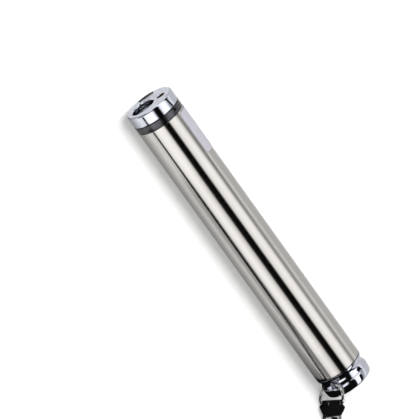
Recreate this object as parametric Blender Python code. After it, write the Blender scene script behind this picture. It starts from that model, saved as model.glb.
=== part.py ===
"""Two-lamp pocket torch: a red laser and a white LED side by side in the head of a
steel tube, one AAA-size cell, a screwed tail cap, and a wrist strap on a wire bail.

The torch lies on its side. X runs along its axis from the tail end to the lamps,
Z is up, and the origin is the middle of the tail cap's flat end face. Metres.
"""
import math

import bmesh
import bpy
from mathutils import Matrix, Vector

MM = 0.001

# Fits
GAP = 0.2 * MM                  # between neighbouring pieces
RUN = 0.25 * MM                 # radial running fit of the head and the thread in the tube
FINE_GAP = 0.12 * MM            # around the snap ring and the seal
OVERRUN = 0.6 * MM              # how far every cutter runs past what it cuts

# Lamps, which set the head's and the tube's diameter
LED_RADIUS = 2.5 * MM           # a 5 mm lamp
LED_BODY = 5.1 * MM             # from its rim to the start of the dome
LED_RIM = 0.4 * MM              # how far the rim stands out
LED_RIM_LENGTH = 1.0 * MM
LED_DOME = 2.5 * MM
LED_RECESS = 1.9 * MM           # from the head's face to the tip of the dome
LED_LEG = 0.5 * MM
LED_LEG_PITCH = 2.54 * MM
CUP_FLARE = 0.6 * MM            # how much wider the reflector is than the lamp, at its mouth
CUP_WALL = 0.1 * MM
CUP_LENGTH = 5.0 * MM
BARREL_RADIUS = 1.9 * MM
BARREL_WALL = 0.45 * MM
BARREL_LENGTH = 12.0 * MM
LAMP_SPACING = 0.6 * MM         # between the reflector and the laser's barrel
LASER_MARGIN = 0.15 * MM        # between the barrel and the head's sleeve
LED_MARGIN = 0.55 * MM          # between the reflector and the head's sleeve
LED_HEIGHT = 0.35 * MM          # how far the lamps sit above the axis
LASER_HEIGHT = 0.9 * MM
LED_WINDOW = 3.4 * MM           # radius of the opening in the face
LASER_WINDOW = 1.25 * MM
DIODE_LENGTH = 2.7 * MM
DIODE_BASE = 1.0 * MM
DIODE_STEP = 0.35 * MM
LENS_THICKNESS = 1.2 * MM
LENS_EDGE = 0.6 * MM
LENS_RING_LENGTH = 0.7 * MM
LENS_RING_BORE = 0.8 * MM
LENS_SPRING_WIRE = 0.12 * MM    # wire radius
LENS_SPRING_TURNS = 7
LEAD_RADIUS = 0.3 * MM
LEAD_PITCH = 1.1 * MM

# Shells
SLEEVE_WALL = 0.45 * MM         # the thin sleeve of the head inside the tube
TUBE_WALL = 0.55 * MM
HEAD_LENGTH = 3.3 * MM          # bright part of the head in front of the ring
HEAD_BEVEL = 0.35 * MM
FACE_THICKNESS = 1.2 * MM
RING_WIDTH = 1.8 * MM
RING_WALL = 0.6 * MM
KNURL_DEPTH = 0.12 * MM
KNURL_TEETH = 72
CARTRIDGE_LENGTH = 25.5 * MM    # from the front of the circuit board to the face
SNAP_SETBACK = 3.0 * MM         # from the tube's front edge to the snap ring's groove
SNAP_WIDTH = 0.5 * MM
SNAP_DEPTH = 0.5 * MM
SNAP_REACH = 0.15 * MM          # how far the snap ring stands into the tube's groove
SNAP_OPENING = math.radians(24)

# Lamp carrier and switch
CARRIER_FRONT = 7.0 * MM        # from the face back to the carrier's front
CARRIER_BACK = 2.2 * MM         # from the board's front to the carrier's back
BOARD_THICKNESS = 0.8 * MM
CHIP = (1.0 * MM, 2.4 * MM, 2.2 * MM)
RESISTOR = (0.6 * MM, 0.9 * MM, 1.7 * MM)
CAPACITOR = (0.8 * MM, 1.3 * MM, 1.3 * MM)
PARTS_SIDE = 0.7 * MM
PARTS_SPREAD = 3.3 * MM
WIPER_SPACE = 1.8 * MM          # between the board and the contact plate
WIPER_THICKNESS = 0.25 * MM
WIPER_WIDTH = 1.3 * MM
WIPER_HUB = 1.4 * MM
WIPER_REACH = 4.2 * MM
PLATE_THICKNESS = 0.8 * MM
PAD_RADIUS = 0.8 * MM
PAD_THICKNESS = 0.2 * MM
PAD_ANGLE = math.radians(30)
STUD_LENGTH = 1.5 * MM
STUD_RADIUS = 1.6 * MM

# Cell, its liner and the tail spring
CELL_RADIUS = 5.25 * MM
CELL_CAN_LENGTH = 43.2 * MM
CELL_JACKET = 0.2 * MM
CELL_NUB_LENGTH = 1.1 * MM
CELL_NUB_RADIUS = 1.9 * MM
CELL_EDGE = 0.5 * MM
WASHER_THICKNESS = 0.2 * MM
WASHER_BORE = 2.3 * MM
LINER_SETBACK = 0.6 * MM        # from the tail cap's thread to the liner
SPRING_LENGTH = 14.2 * MM
SPRING_WIRE = 0.35 * MM         # wire radius
SPRING_BASE = 4.2 * MM          # radius of the widest turn
SPRING_TIP = 2.4 * MM
SPRING_TURNS = 7
SEAT_THICKNESS = 0.6 * MM
SEAT_BOSS = 1.2 * MM

# Tail cap
CAP_LENGTH = 5.8 * MM           # the part outside the tube
CAP_PROUD = 0.05 * MM           # how far the flange stands out past the tube
CAP_CHAMFER = 0.25 * MM
CAP_FLAT = 4.2 * MM             # radius of the flat middle of the end face
CAP_DISH = 0.15 * MM            # how far the end face falls away around it
CAP_FLANGE = 2.8 * MM           # from the end face to the waist
CAP_WAIST_DEPTH = 0.55 * MM
CAP_WAIST_SLOPE = 0.9 * MM
CAP_COLLAR = 0.6 * MM
CAP_WEB = 0.8 * MM              # solid metal between the seam and the spring's seat
THREAD_LENGTH = 7.2 * MM
THREAD_WALL = 1.0 * MM
SEAL_SETBACK = 1.8 * MM         # from the seam to the seal's groove
SEAL_SECTION = 0.32 * MM        # radius of the O-ring's cord
SEAL_GROOVE = 1.0 * MM
SEAL_DEPTH = 0.6 * MM
BAIL_HOLE = 1.2 * MM            # radius of the cross hole
BAIL_HOLE_BACK = 3.7 * MM       # from the end face
BAIL_HOLE_SIDE = 3.5 * MM       # from the axis

# Wire bail and strap, placed on the table beside the tail
WIRE = 0.4 * MM                 # radius of the bail's wire
BAIL_LIFT = 0.05 * MM
BAR_LENGTH = 6.2 * MM
BAR_ROUND = 0.8 * MM
BAR_BACK = 4.65 * MM            # from the end face
BAR_SIDE = 7.3 * MM             # from the axis
STRAP_ANGLE = math.radians(34)  # between the torch and the strap, seen from above
EYE_PLAY = 0.2 * MM
TAB_LAYER = 0.85 * MM           # one layer of the folded tab
TAB_WIDTH = 6.5 * MM
TAB_EYE_WIDTH = 5.0 * MM
TAB_NECK_WIDTH = 4.9 * MM
TAB_TONGUE_WIDTH = 3.4 * MM
TAB_WIDEST = 0.95 * MM          # where it is widest, from the bar
TAB_EYE_SHARES = (-0.985, -0.8, -0.45, 0.0)     # of the eye's radius, where its rings lie
FERRULE_START = 3.0 * MM        # from the bar
FERRULE_LENGTH = 6.0 * MM
FERRULE_WIDTH = 5.2 * MM
FERRULE_THICKNESS = 3.0 * MM
FERRULE_WALL = 0.35 * MM
FERRULE_POCKET = 1.8 * MM
CORD_RADIUS = 1.0 * MM

# Label on the tube's side
LABEL_LENGTH = 13.4 * MM
LABEL_THICKNESS = 0.1 * MM
LABEL_SETBACK = 0.6 * MM
LABEL_LIFT = 0.08 * MM
LABEL_START = math.radians(44)
LABEL_SWEEP = math.radians(84)

# Facets
SHELL_FACETS = 64
INNER_FACETS = 40
SMALL_FACETS = 24
COIL_POINTS = 10
WIRE_STEPS = 4
ROUTE_STEPS = 16
CORD_STEPS = 88
OVAL_SHARE = 0.42               # of the ferrule's thickness, for its rounded corners
MERGE = 0.002 * MM              # points closer than this are one

# Radii, from the lamps outwards
CUP_RADIUS = LED_RADIUS + CUP_FLARE + CUP_WALL
SLEEVE_BORE = (LASER_MARGIN + LAMP_SPACING + LED_MARGIN) / 2 + BARREL_RADIUS + CUP_RADIUS
SLEEVE_RADIUS = SLEEVE_BORE + SLEEVE_WALL
TUBE_BORE = SLEEVE_RADIUS + RUN
TUBE_RADIUS = TUBE_BORE + TUBE_WALL
FLANGE_RADIUS = TUBE_RADIUS + CAP_PROUD
WAIST_RADIUS = TUBE_RADIUS - CAP_WAIST_DEPTH
FLOOR = -FLANGE_RADIUS * math.cos(math.pi / SHELL_FACETS)
LASER_SIDE = -(SLEEVE_BORE - LASER_MARGIN - BARREL_RADIUS)
LED_SIDE = LASER_SIDE + BARREL_RADIUS + LAMP_SPACING + CUP_RADIUS

# Places along the axis, from the tail forwards
SEAM = CAP_LENGTH
SEAT_BACK = SEAM + CAP_WEB + GAP
SPRING_BACK = SEAT_BACK + SEAT_THICKNESS + GAP
CELL_BACK = SPRING_BACK + SPRING_LENGTH + GAP
CELL_FRONT = CELL_BACK + CELL_CAN_LENGTH
NUB_BACK = CELL_FRONT + GAP
STUD_BACK = NUB_BACK + CELL_NUB_LENGTH + GAP
PLATE_BACK = STUD_BACK + STUD_LENGTH + GAP
PLATE_FRONT = PLATE_BACK + PLATE_THICKNESS
BOARD_BACK = PLATE_FRONT + WIPER_SPACE + GAP
BOARD_FRONT = BOARD_BACK + BOARD_THICKNESS
FACE = BOARD_FRONT + CARTRIDGE_LENGTH
SHOULDER = FACE - HEAD_LENGTH
RING_FRONT = SHOULDER - GAP
RING_BACK = RING_FRONT - RING_WIDTH
TUBE_FRONT = RING_BACK - GAP
TUBE_BACK = SEAM + GAP
THREAD_FRONT = SEAM + THREAD_LENGTH
SNAP_BACK = TUBE_FRONT - SNAP_SETBACK
LED_TIP = FACE - LED_RECESS
LED_BACK = LED_TIP - LED_DOME - LED_BODY - LED_RIM_LENGTH
INNER_FACE = FACE - FACE_THICKNESS
BARREL_FRONT = INNER_FACE - GAP
BARREL_BACK = BARREL_FRONT - BARREL_LENGTH


def start_empty():
    """Remove whatever the scene holds."""
    for thing in list(bpy.data.objects):
        bpy.data.objects.remove(thing, do_unlink=True)


def material(name, colour, roughness, metallic=0.0):
    """One Principled material of a plain colour."""
    made = bpy.data.materials.new(name)
    made.use_nodes = True
    shader = made.node_tree.nodes["Principled BSDF"]
    shader.inputs["Base Color"].default_value = (*colour, 1.0)
    shader.inputs["Roughness"].default_value = roughness
    shader.inputs["Metallic"].default_value = metallic
    return made


STEEL = dict(colour=(0.72, 0.71, 0.69), roughness=0.25, metallic=1.0)
CHROME = dict(colour=(0.82, 0.83, 0.85), roughness=0.06, metallic=1.0)
BRASS = dict(colour=(0.78, 0.58, 0.25), roughness=0.3, metallic=1.0)
BLACK_STEEL = dict(colour=(0.10, 0.10, 0.11), roughness=0.45, metallic=1.0)
SPRING_STEEL = dict(colour=(0.60, 0.60, 0.62), roughness=0.25, metallic=1.0)
BLACK_PLASTIC = dict(colour=(0.03, 0.03, 0.03), roughness=0.5)
BLACK_STRAP = dict(colour=(0.012, 0.012, 0.012), roughness=0.7)
CLEAR = dict(colour=(0.86, 0.88, 0.90), roughness=0.08)
BOARD_GREEN = dict(colour=(0.02, 0.20, 0.08), roughness=0.4)
PAPER = dict(colour=(0.80, 0.79, 0.83), roughness=0.5)
FILM = dict(colour=(0.10, 0.22, 0.42), roughness=0.3)
RUBBER = dict(colour=(0.02, 0.02, 0.02), roughness=0.6)


def to_object(name, work, finish):
    """Turn a bmesh into a smooth-shaded object with its own material."""
    bmesh.ops.recalc_face_normals(work, faces=work.faces)
    mesh = bpy.data.meshes.new(name)
    work.to_mesh(mesh)
    work.free()
    mesh.shade_smooth()
    mesh.set_sharp_from_angle(angle=math.radians(30))
    made = bpy.data.objects.new(name, mesh)
    bpy.context.collection.objects.link(made)
    made.data.materials.append(material(name + "_finish", **finish))
    return made


def turned(name, outline, finish, facets=SHELL_FACETS, side=0.0, height=0.0):
    """Turn a closed outline of (place along X, radius) about a line along X."""
    work = bmesh.new()
    first = math.pi / facets
    points = [
        work.verts.new((x, r * math.sin(first), r * math.cos(first))) for x, r in outline
    ]
    edges = [work.edges.new(pair) for pair in zip(points, points[1:] + points[:1])
             if pair[0].co.yz.length + pair[1].co.yz.length > 0]
    bmesh.ops.spin(
        work, geom=points + edges, cent=(0, 0, 0), axis=(1, 0, 0),
        angle=2 * math.pi, steps=facets, use_merge=True)
    bmesh.ops.remove_doubles(work, verts=work.verts, dist=MERGE)
    bmesh.ops.translate(work, verts=work.verts, vec=(0, side, height))
    return to_object(name, work, finish)


def rod(back, front, radius):
    """The outline of a plain disc or rod for turned()."""
    return [(back, 0), (back, radius), (front, radius), (front, 0)]


def pipe(back, front, radius, bore):
    """The outline of a plain pipe or washer for turned()."""
    return [(back, bore), (back, radius), (front, radius), (front, bore)]


def block(work, middle, size):
    """Add a box of a middle and a size to a bmesh."""
    place = Matrix.Translation(middle) @ Matrix.Diagonal((*size, 1))
    bmesh.ops.create_cube(work, size=1, matrix=place)


def drum(work, back, front, radius, side, height, facets=SMALL_FACETS):
    """Add a cylinder along X to a bmesh."""
    place = Matrix.Translation(((back + front) / 2, side, height))
    place = place @ Matrix.Rotation(math.pi / 2, 4, "Y")
    bmesh.ops.create_cone(
        work, cap_ends=True, segments=facets, radius1=radius, radius2=radius,
        depth=front - back, matrix=place)


def cut(target, work, name):
    """Take a bmesh away from an object with a Boolean."""
    cutter = to_object(name, work, STEEL)
    cutter.hide_render = True
    cutter.display_type = "WIRE"
    step = target.modifiers.new(name, "BOOLEAN")
    step.operation = "DIFFERENCE"
    step.solver = "EXACT"
    step.object = cutter
    return cutter


def wire(name, points, radius, finish, closed=False, smooth=False, roundness=2):
    """A round wire along a list of points."""
    path = bpy.data.curves.new(name, "CURVE")
    path.dimensions = "3D"
    path.bevel_depth = radius
    path.bevel_resolution = roundness
    path.use_fill_caps = not closed
    if smooth:
        line = path.splines.new("BEZIER")
        line.bezier_points.add(len(points) - 1)
        for knot, point in zip(line.bezier_points, points):
            knot.co = point
            knot.handle_left_type = "AUTO"
            knot.handle_right_type = "AUTO"
        line.resolution_u = WIRE_STEPS
    else:
        line = path.splines.new("POLY")
        line.points.add(len(points) - 1)
        for knot, point in zip(line.points, points):
            knot.co = (*point, 1)
    line.use_cyclic_u = closed
    made = bpy.data.objects.new(name, path)
    bpy.context.collection.objects.link(made)
    made.data.materials.append(material(name + "_finish", **finish))
    return made


def pivot(name, place):
    """An empty on a joint's axis, which its moving pieces hang from."""
    made = bpy.data.objects.new(name, None)
    made.location = place
    bpy.context.collection.objects.link(made)
    return made


def hold(pieces, empty):
    """Hang pieces from an empty where they are."""
    bpy.context.view_layer.update()
    for piece in pieces:
        piece.parent = empty
        piece.matrix_parent_inverse = empty.matrix_world.inverted()


# Head

def head_cap():
    """Bright cap with the two openings, and the thin sleeve behind it."""
    snap_floor = SLEEVE_RADIUS + SNAP_REACH + RUN - SNAP_DEPTH - FINE_GAP
    snap_front = SNAP_BACK + SNAP_WIDTH + 2 * FINE_GAP
    outline = [
        (FACE, 0), (FACE, TUBE_RADIUS - HEAD_BEVEL), (FACE - HEAD_BEVEL, TUBE_RADIUS),
        (SHOULDER, TUBE_RADIUS), (SHOULDER, SLEEVE_RADIUS),
        (snap_front, SLEEVE_RADIUS), (snap_front, snap_floor),
        (SNAP_BACK, snap_floor), (SNAP_BACK, SLEEVE_RADIUS),
        (BOARD_BACK, SLEEVE_RADIUS), (BOARD_BACK, SLEEVE_BORE),
        (INNER_FACE, SLEEVE_BORE), (INNER_FACE, 0)]
    cap = turned("head_cap", outline, CHROME)
    work = bmesh.new()
    back = INNER_FACE - OVERRUN
    front = FACE + OVERRUN
    drum(work, back, front, LED_WINDOW, LED_SIDE, LED_HEIGHT, INNER_FACETS)
    drum(work, back, front, LASER_WINDOW, LASER_SIDE, LASER_HEIGHT)
    return cap, cut(cap, work, "cut_windows")


def knurled_ring():
    """Dark ring with straight teeth, pressed on the sleeve behind the cap."""
    bore = TUBE_RADIUS - RING_WALL
    ring = turned("knurled_ring", pipe(RING_BACK, RING_FRONT, TUBE_RADIUS, bore),
                  BLACK_STEEL, KNURL_TEETH * 2)
    outer = [v for v in ring.data.vertices if v.co.yz.length > (bore + TUBE_RADIUS) / 2]
    for corner in outer:
        turn = math.atan2(corner.co.y, corner.co.z) / (math.pi / KNURL_TEETH)
        if round(turn - 0.5) % 2 == 0:
            shrink = 1 - KNURL_DEPTH / TUBE_RADIUS
            corner.co.y *= shrink
            corner.co.z *= shrink
    return ring


def snap_ring():
    """Open ring that keeps the head in the tube and lets it turn."""
    inner = SLEEVE_RADIUS + SNAP_REACH + RUN - SNAP_DEPTH
    back = SNAP_BACK + FINE_GAP
    work = bmesh.new()
    corners = [(back, inner), (back, inner + SNAP_DEPTH),
               (back + SNAP_WIDTH, inner + SNAP_DEPTH), (back + SNAP_WIDTH, inner)]
    points = [work.verts.new((x, 0, -r)) for x, r in corners]
    face = work.faces.new(points)
    bmesh.ops.rotate(work, verts=points, cent=(0, 0, 0),
                     matrix=Matrix.Rotation(SNAP_OPENING / 2, 3, "X"))
    bmesh.ops.spin(work, geom=[face], cent=(0, 0, 0), axis=(1, 0, 0),
                   angle=2 * math.pi - SNAP_OPENING, steps=INNER_FACETS)
    return to_object("snap_ring", work, SPRING_STEEL)


def led_reflector():
    """Bright cup around the LED, wider at its mouth."""
    back = INNER_FACE - GAP - CUP_LENGTH
    front = INNER_FACE - GAP
    small = LED_RADIUS + CUP_WALL
    outline = [(back, small), (back, small + CUP_WALL), (front, CUP_RADIUS),
               (front, CUP_RADIUS - CUP_WALL)]
    return turned("led_reflector", outline, CHROME, INNER_FACETS, LED_SIDE, LED_HEIGHT)


def led_lamp():
    """Clear 5 mm lamp with its rim and dome."""
    rim_front = LED_BACK + LED_RIM_LENGTH
    dome_back = LED_TIP - LED_DOME
    outline = [(LED_BACK, 0), (LED_BACK, LED_RADIUS + LED_RIM),
               (rim_front, LED_RADIUS + LED_RIM), (rim_front, LED_RADIUS)]
    steps = 7
    for step in range(steps):
        turn = math.pi / 2 * step / steps
        outline.append((dome_back + LED_DOME * math.sin(turn), LED_RADIUS * math.cos(turn)))
    outline.append((LED_TIP, 0))
    return turned("led_lamp", outline, CLEAR, INNER_FACETS, LED_SIDE, LED_HEIGHT)


def led_legs():
    """The lamp's two legs, down to the circuit board."""
    back = BOARD_FRONT + GAP
    front = LED_BACK - GAP
    legs = []
    for number, side in enumerate((-1, 1), 1):
        middle = ((back + front) / 2, LED_SIDE, LED_HEIGHT + side * LED_LEG_PITCH / 2)
        work = bmesh.new()
        block(work, middle, (front - back, LED_LEG, LED_LEG))
        legs.append(to_object(f"led_leg_{number}", work, SPRING_STEEL))
    return legs


def laser_barrel():
    """Brass tube of the laser module."""
    outline = pipe(BARREL_BACK, BARREL_FRONT, BARREL_RADIUS, BARREL_RADIUS - BARREL_WALL)
    return turned("laser_barrel", outline, BRASS, SMALL_FACETS, LASER_SIDE, LASER_HEIGHT)


def laser_fill():
    """How wide a piece inside the laser's barrel may be."""
    return BARREL_RADIUS - BARREL_WALL - FINE_GAP


def laser_optics():
    """Lens ring, lens, spring and diode, from the front of the barrel backwards."""
    wide = laser_fill()
    ring_back = BARREL_FRONT - LENS_RING_LENGTH
    ring = turned("lens_ring", pipe(ring_back, BARREL_FRONT, wide, LENS_RING_BORE),
                  BRASS, SMALL_FACETS, LASER_SIDE, LASER_HEIGHT)
    lens_front = ring_back - FINE_GAP
    lens_back = lens_front - LENS_THICKNESS
    belly = (LENS_THICKNESS - LENS_EDGE) / 2
    lens = turned("laser_lens", [
        (lens_back, 0), (lens_back + belly, wide), (lens_front - belly, wide), (lens_front, 0)],
        CLEAR, SMALL_FACETS, LASER_SIDE, LASER_HEIGHT)
    diode_front = BARREL_BACK + DIODE_LENGTH
    step = BARREL_BACK + DIODE_BASE
    diode = turned("laser_diode", [
        (BARREL_BACK, 0), (BARREL_BACK, wide), (step, wide), (step, wide - DIODE_STEP),
        (diode_front, wide - DIODE_STEP), (diode_front, 0)],
        SPRING_STEEL, SMALL_FACETS, LASER_SIDE, LASER_HEIGHT)
    back = diode_front + FINE_GAP + LENS_SPRING_WIRE
    front = lens_back - FINE_GAP - LENS_SPRING_WIRE
    path = coil_path(back, front, wide - LENS_SPRING_WIRE, wide - LENS_SPRING_WIRE,
                     LENS_SPRING_TURNS, LASER_SIDE, LASER_HEIGHT)
    print_least_gap("laser_spring", path, LENS_SPRING_WIRE)
    spring = wire("laser_spring", path, LENS_SPRING_WIRE, SPRING_STEEL, roundness=1)
    return [ring, lens, diode, spring]


def coil_path(back, front, first, last, turns, side=0.0, height=0.0):
    """Points of a coil along X whose radius goes evenly from first to last."""
    path = []
    count = turns * COIL_POINTS
    for number in range(count + 1):
        share = number / count
        turn = 2 * math.pi * turns * share
        radius = first + (last - first) * share
        path.append((back + (front - back) * share,
                     side + radius * math.cos(turn), height + radius * math.sin(turn)))
    return path


def print_least_gap(name, path, radius):
    """Print the least gap between neighbouring turns of a coil."""
    apart = COIL_POINTS // 2
    gap = min((Vector(path[late]) - Vector(path[early])).length
              for early in range(len(path) - apart) for late in range(early + apart, len(path)))
    print(f"{name}: least gap between turns {(gap - 2 * radius) / MM:.2f} mm")


def laser_leads():
    """Two thin wires from the diode to the circuit board."""
    leads = []
    for number, side in enumerate((-1, 1), 1):
        work = bmesh.new()
        drum(work, BOARD_FRONT + GAP, BARREL_BACK - GAP, LEAD_RADIUS, LASER_SIDE,
             LASER_HEIGHT + side * LEAD_PITCH / 2, SMALL_FACETS // 2)
        leads.append(to_object(f"laser_lead_{number}", work, RUBBER))
    return leads


def lamp_carrier():
    """Black plug in the sleeve, with a pocket for each lamp and room for the leads."""
    back = BOARD_FRONT + CARRIER_BACK
    front = FACE - CARRIER_FRONT
    carrier = turned("lamp_carrier", rod(back, front, SLEEVE_BORE - GAP), BLACK_PLASTIC,
                     INNER_FACETS)
    pockets = bmesh.new()
    drum(pockets, LED_BACK - GAP, front + OVERRUN, LED_RADIUS + LED_RIM + GAP,
         LED_SIDE, LED_HEIGHT)
    barrel_pocket = bmesh.new()
    drum(barrel_pocket, BARREL_BACK - GAP, front + OVERRUN, BARREL_RADIUS + FINE_GAP,
         LASER_SIDE, LASER_HEIGHT)
    channels = bmesh.new()
    drum(channels, back - OVERRUN, BARREL_BACK + GAP, LEAD_PITCH / 2 + LEAD_RADIUS + GAP,
         LASER_SIDE, LASER_HEIGHT)
    legs = bmesh.new()
    for side in (-1, 1):
        drum(legs, back - OVERRUN, LED_BACK + GAP, LED_LEG + GAP, LED_SIDE,
             LED_HEIGHT + side * LED_LEG_PITCH / 2, SMALL_FACETS // 2)
    cutters = [
        cut(carrier, pockets, "cut_led_pocket"), cut(carrier, barrel_pocket, "cut_laser_pocket"),
        cut(carrier, channels, "cut_lead_channel"), cut(carrier, legs, "cut_leg_holes")]
    return carrier, cutters


def circuit():
    """Circuit board, the parts on it and the spring finger behind it."""
    board = turned("driver_board", rod(BOARD_BACK, BOARD_FRONT, SLEEVE_BORE - GAP),
                   BOARD_GREEN, INNER_FACETS)
    parts = []
    for name, size, side, height in (
            ("driver_chip", CHIP, -PARTS_SIDE, 0), ("resistor", RESISTOR, 0, PARTS_SPREAD),
            ("capacitor", CAPACITOR, -PARTS_SIDE, -PARTS_SPREAD)):
        work = bmesh.new()
        block(work, (BOARD_FRONT + GAP + size[0] / 2, side, height), size)
        parts.append(to_object(name, work, BLACK_PLASTIC))
    return [board, *parts, wiper_contact()]


def wiper_contact():
    """Bent brass finger that sweeps over the three pads."""
    root = BOARD_BACK - GAP
    tip = PLATE_FRONT + GAP + PAD_THICKNESS + GAP
    hub_share = WIPER_HUB / WIPER_REACH
    stations = [(-WIPER_HUB, root), (0, root), (WIPER_HUB, root),
                (WIPER_REACH * (1 + hub_share) / 2, tip + WIPER_THICKNESS),
                (WIPER_REACH, tip + WIPER_THICKNESS),
                (WIPER_REACH + WIPER_WIDTH / 2, tip + 2 * WIPER_THICKNESS)]
    rings = []
    work = bmesh.new()
    for height, front in stations:
        half = WIPER_HUB if height <= WIPER_HUB else WIPER_WIDTH / 2
        if height == -WIPER_HUB:
            half = WIPER_WIDTH / 2
        rings.append([work.verts.new((x, y, height)) for x, y in (
            (front, -half), (front, half), (front - WIPER_THICKNESS, half),
            (front - WIPER_THICKNESS, -half))])
    skin(work, rings)
    return to_object("wiper_contact", work, BRASS)


def skin(work, rings):
    """Join rings of points, one after the other, and close both ends."""
    for first, second in zip(rings, rings[1:]):
        for number in range(len(first)):
            after = (number + 1) % len(first)
            work.faces.new((first[number], first[after], second[after], second[number]))
    work.faces.new(rings[0][::-1])
    work.faces.new(rings[-1])


# Tube and what stays in it

def tube():
    """Plain steel tube with the snap ring's groove near its front."""
    groove = TUBE_BORE + SNAP_REACH + FINE_GAP
    snap_front = SNAP_BACK + SNAP_WIDTH + 2 * FINE_GAP
    outline = [
        (TUBE_BACK, TUBE_BORE), (TUBE_BACK, TUBE_RADIUS), (TUBE_FRONT, TUBE_RADIUS),
        (TUBE_FRONT, TUBE_BORE), (snap_front, TUBE_BORE), (snap_front, groove),
        (SNAP_BACK, groove), (SNAP_BACK, TUBE_BORE)]
    return turned("tube", outline, STEEL)


def label():
    """Thin bare sticker around part of the tube, close behind the ring."""
    front = TUBE_FRONT - LABEL_SETBACK
    inner = TUBE_RADIUS + LABEL_LIFT
    work = bmesh.new()
    corners = [(front - LABEL_LENGTH, inner), (front - LABEL_LENGTH, inner + LABEL_THICKNESS),
               (front, inner + LABEL_THICKNESS), (front, inner)]
    points = [work.verts.new((x, 0, r)) for x, r in corners]
    face = work.faces.new(points)
    bmesh.ops.rotate(work, verts=points, cent=(0, 0, 0),
                     matrix=Matrix.Rotation(LABEL_START, 3, "X"))
    bmesh.ops.spin(work, geom=[face], cent=(0, 0, 0), axis=(1, 0, 0),
                   angle=LABEL_SWEEP, steps=SMALL_FACETS)
    return to_object("label", work, PAPER)


def switch_base():
    """Contact plate, its three pads and the stud that touches the cell."""
    turned("contact_plate", rod(PLATE_BACK, PLATE_FRONT, TUBE_BORE - GAP),
           BLACK_PLASTIC, INNER_FACETS)
    pad_back = PLATE_FRONT + GAP
    for name, turn in (("led_pad", -PAD_ANGLE), ("off_pad", 0), ("laser_pad", PAD_ANGLE)):
        work = bmesh.new()
        drum(work, pad_back, pad_back + PAD_THICKNESS, PAD_RADIUS,
             WIPER_REACH * math.sin(turn), WIPER_REACH * math.cos(turn))
        to_object(name, work, BRASS)
    outline = [(STUD_BACK, 0), (STUD_BACK, STUD_RADIUS / 2),
               (STUD_BACK + STUD_LENGTH / 2, STUD_RADIUS),
               (STUD_BACK + STUD_LENGTH, STUD_RADIUS), (STUD_BACK + STUD_LENGTH, 0)]
    turned("positive_stud", outline, BRASS, SMALL_FACETS)


def cell():
    """AAA-size cell: can, printed film, washer and nub."""
    can_radius = CELL_RADIUS - CELL_JACKET - FINE_GAP
    turned("cell_can", [
        (CELL_BACK, 0), (CELL_BACK, can_radius - CELL_EDGE), (CELL_BACK + CELL_EDGE, can_radius),
        (CELL_FRONT - CELL_EDGE, can_radius), (CELL_FRONT, can_radius - CELL_EDGE),
        (CELL_FRONT, 0)], SPRING_STEEL, INNER_FACETS)
    turned("cell_jacket", pipe(
        CELL_BACK + CELL_EDGE, CELL_FRONT - CELL_EDGE, CELL_RADIUS, CELL_RADIUS - CELL_JACKET),
        FILM, INNER_FACETS)
    turned("cell_washer", pipe(
        CELL_FRONT + GAP, CELL_FRONT + GAP + WASHER_THICKNESS, can_radius - CELL_EDGE,
        WASHER_BORE), PAPER, INNER_FACETS)
    turned("cell_nub", rod(NUB_BACK, NUB_BACK + CELL_NUB_LENGTH, CELL_NUB_RADIUS),
           SPRING_STEEL, SMALL_FACETS)


def liner():
    """Insulating liner between the cell and the tube."""
    outline = pipe(THREAD_FRONT + LINER_SETBACK, PLATE_BACK - GAP, TUBE_BORE - GAP,
                   CELL_RADIUS + GAP)
    turned("cell_liner", outline, CLEAR, INNER_FACETS)


# Tail

def tail_cap():
    """Bright screwed cap with its waist, its thread and the bail's cross hole."""
    thread = TUBE_BORE - RUN
    groove = SEAM + SEAL_SETBACK
    waist_front = SEAM - CAP_COLLAR - CAP_WAIST_SLOPE
    outline = [
        (0, 0), (0, CAP_FLAT), (CAP_DISH, FLANGE_RADIUS - CAP_CHAMFER),
        (CAP_CHAMFER, FLANGE_RADIUS),
        (CAP_FLANGE, FLANGE_RADIUS), (CAP_FLANGE + CAP_WAIST_SLOPE, WAIST_RADIUS),
        (waist_front, WAIST_RADIUS), (SEAM - CAP_COLLAR, TUBE_RADIUS), (SEAM, TUBE_RADIUS),
        (SEAM, thread), (groove, thread), (groove, thread - SEAL_DEPTH),
        (groove + SEAL_GROOVE, thread - SEAL_DEPTH), (groove + SEAL_GROOVE, thread),
        (THREAD_FRONT, thread), (THREAD_FRONT, thread - THREAD_WALL),
        (SEAM + CAP_WEB, thread - THREAD_WALL), (SEAM + CAP_WEB, 0)]
    cap = turned("tail_cap", outline, CHROME)
    work = bmesh.new()
    bmesh.ops.create_cone(
        work, cap_ends=True, segments=SMALL_FACETS, radius1=BAIL_HOLE, radius2=BAIL_HOLE,
        depth=2 * (FLANGE_RADIUS + OVERRUN),
        matrix=Matrix.Translation((BAIL_HOLE_BACK, BAIL_HOLE_SIDE, 0)))
    return cap, cut(cap, work, "cut_bail_hole")


def tail_seal():
    """O-ring in the groove behind the thread."""
    middle = SEAM + SEAL_SETBACK + SEAL_GROOVE / 2
    mean = TUBE_BORE - RUN - SEAL_DEPTH + FINE_GAP + SEAL_SECTION
    outline = []
    steps = 10
    for step in range(steps):
        turn = 2 * math.pi * step / steps
        outline.append((middle + SEAL_SECTION * math.sin(turn),
                        mean + SEAL_SECTION * math.cos(turn)))
    return turned("tail_seal", outline, RUBBER, INNER_FACETS)


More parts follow.
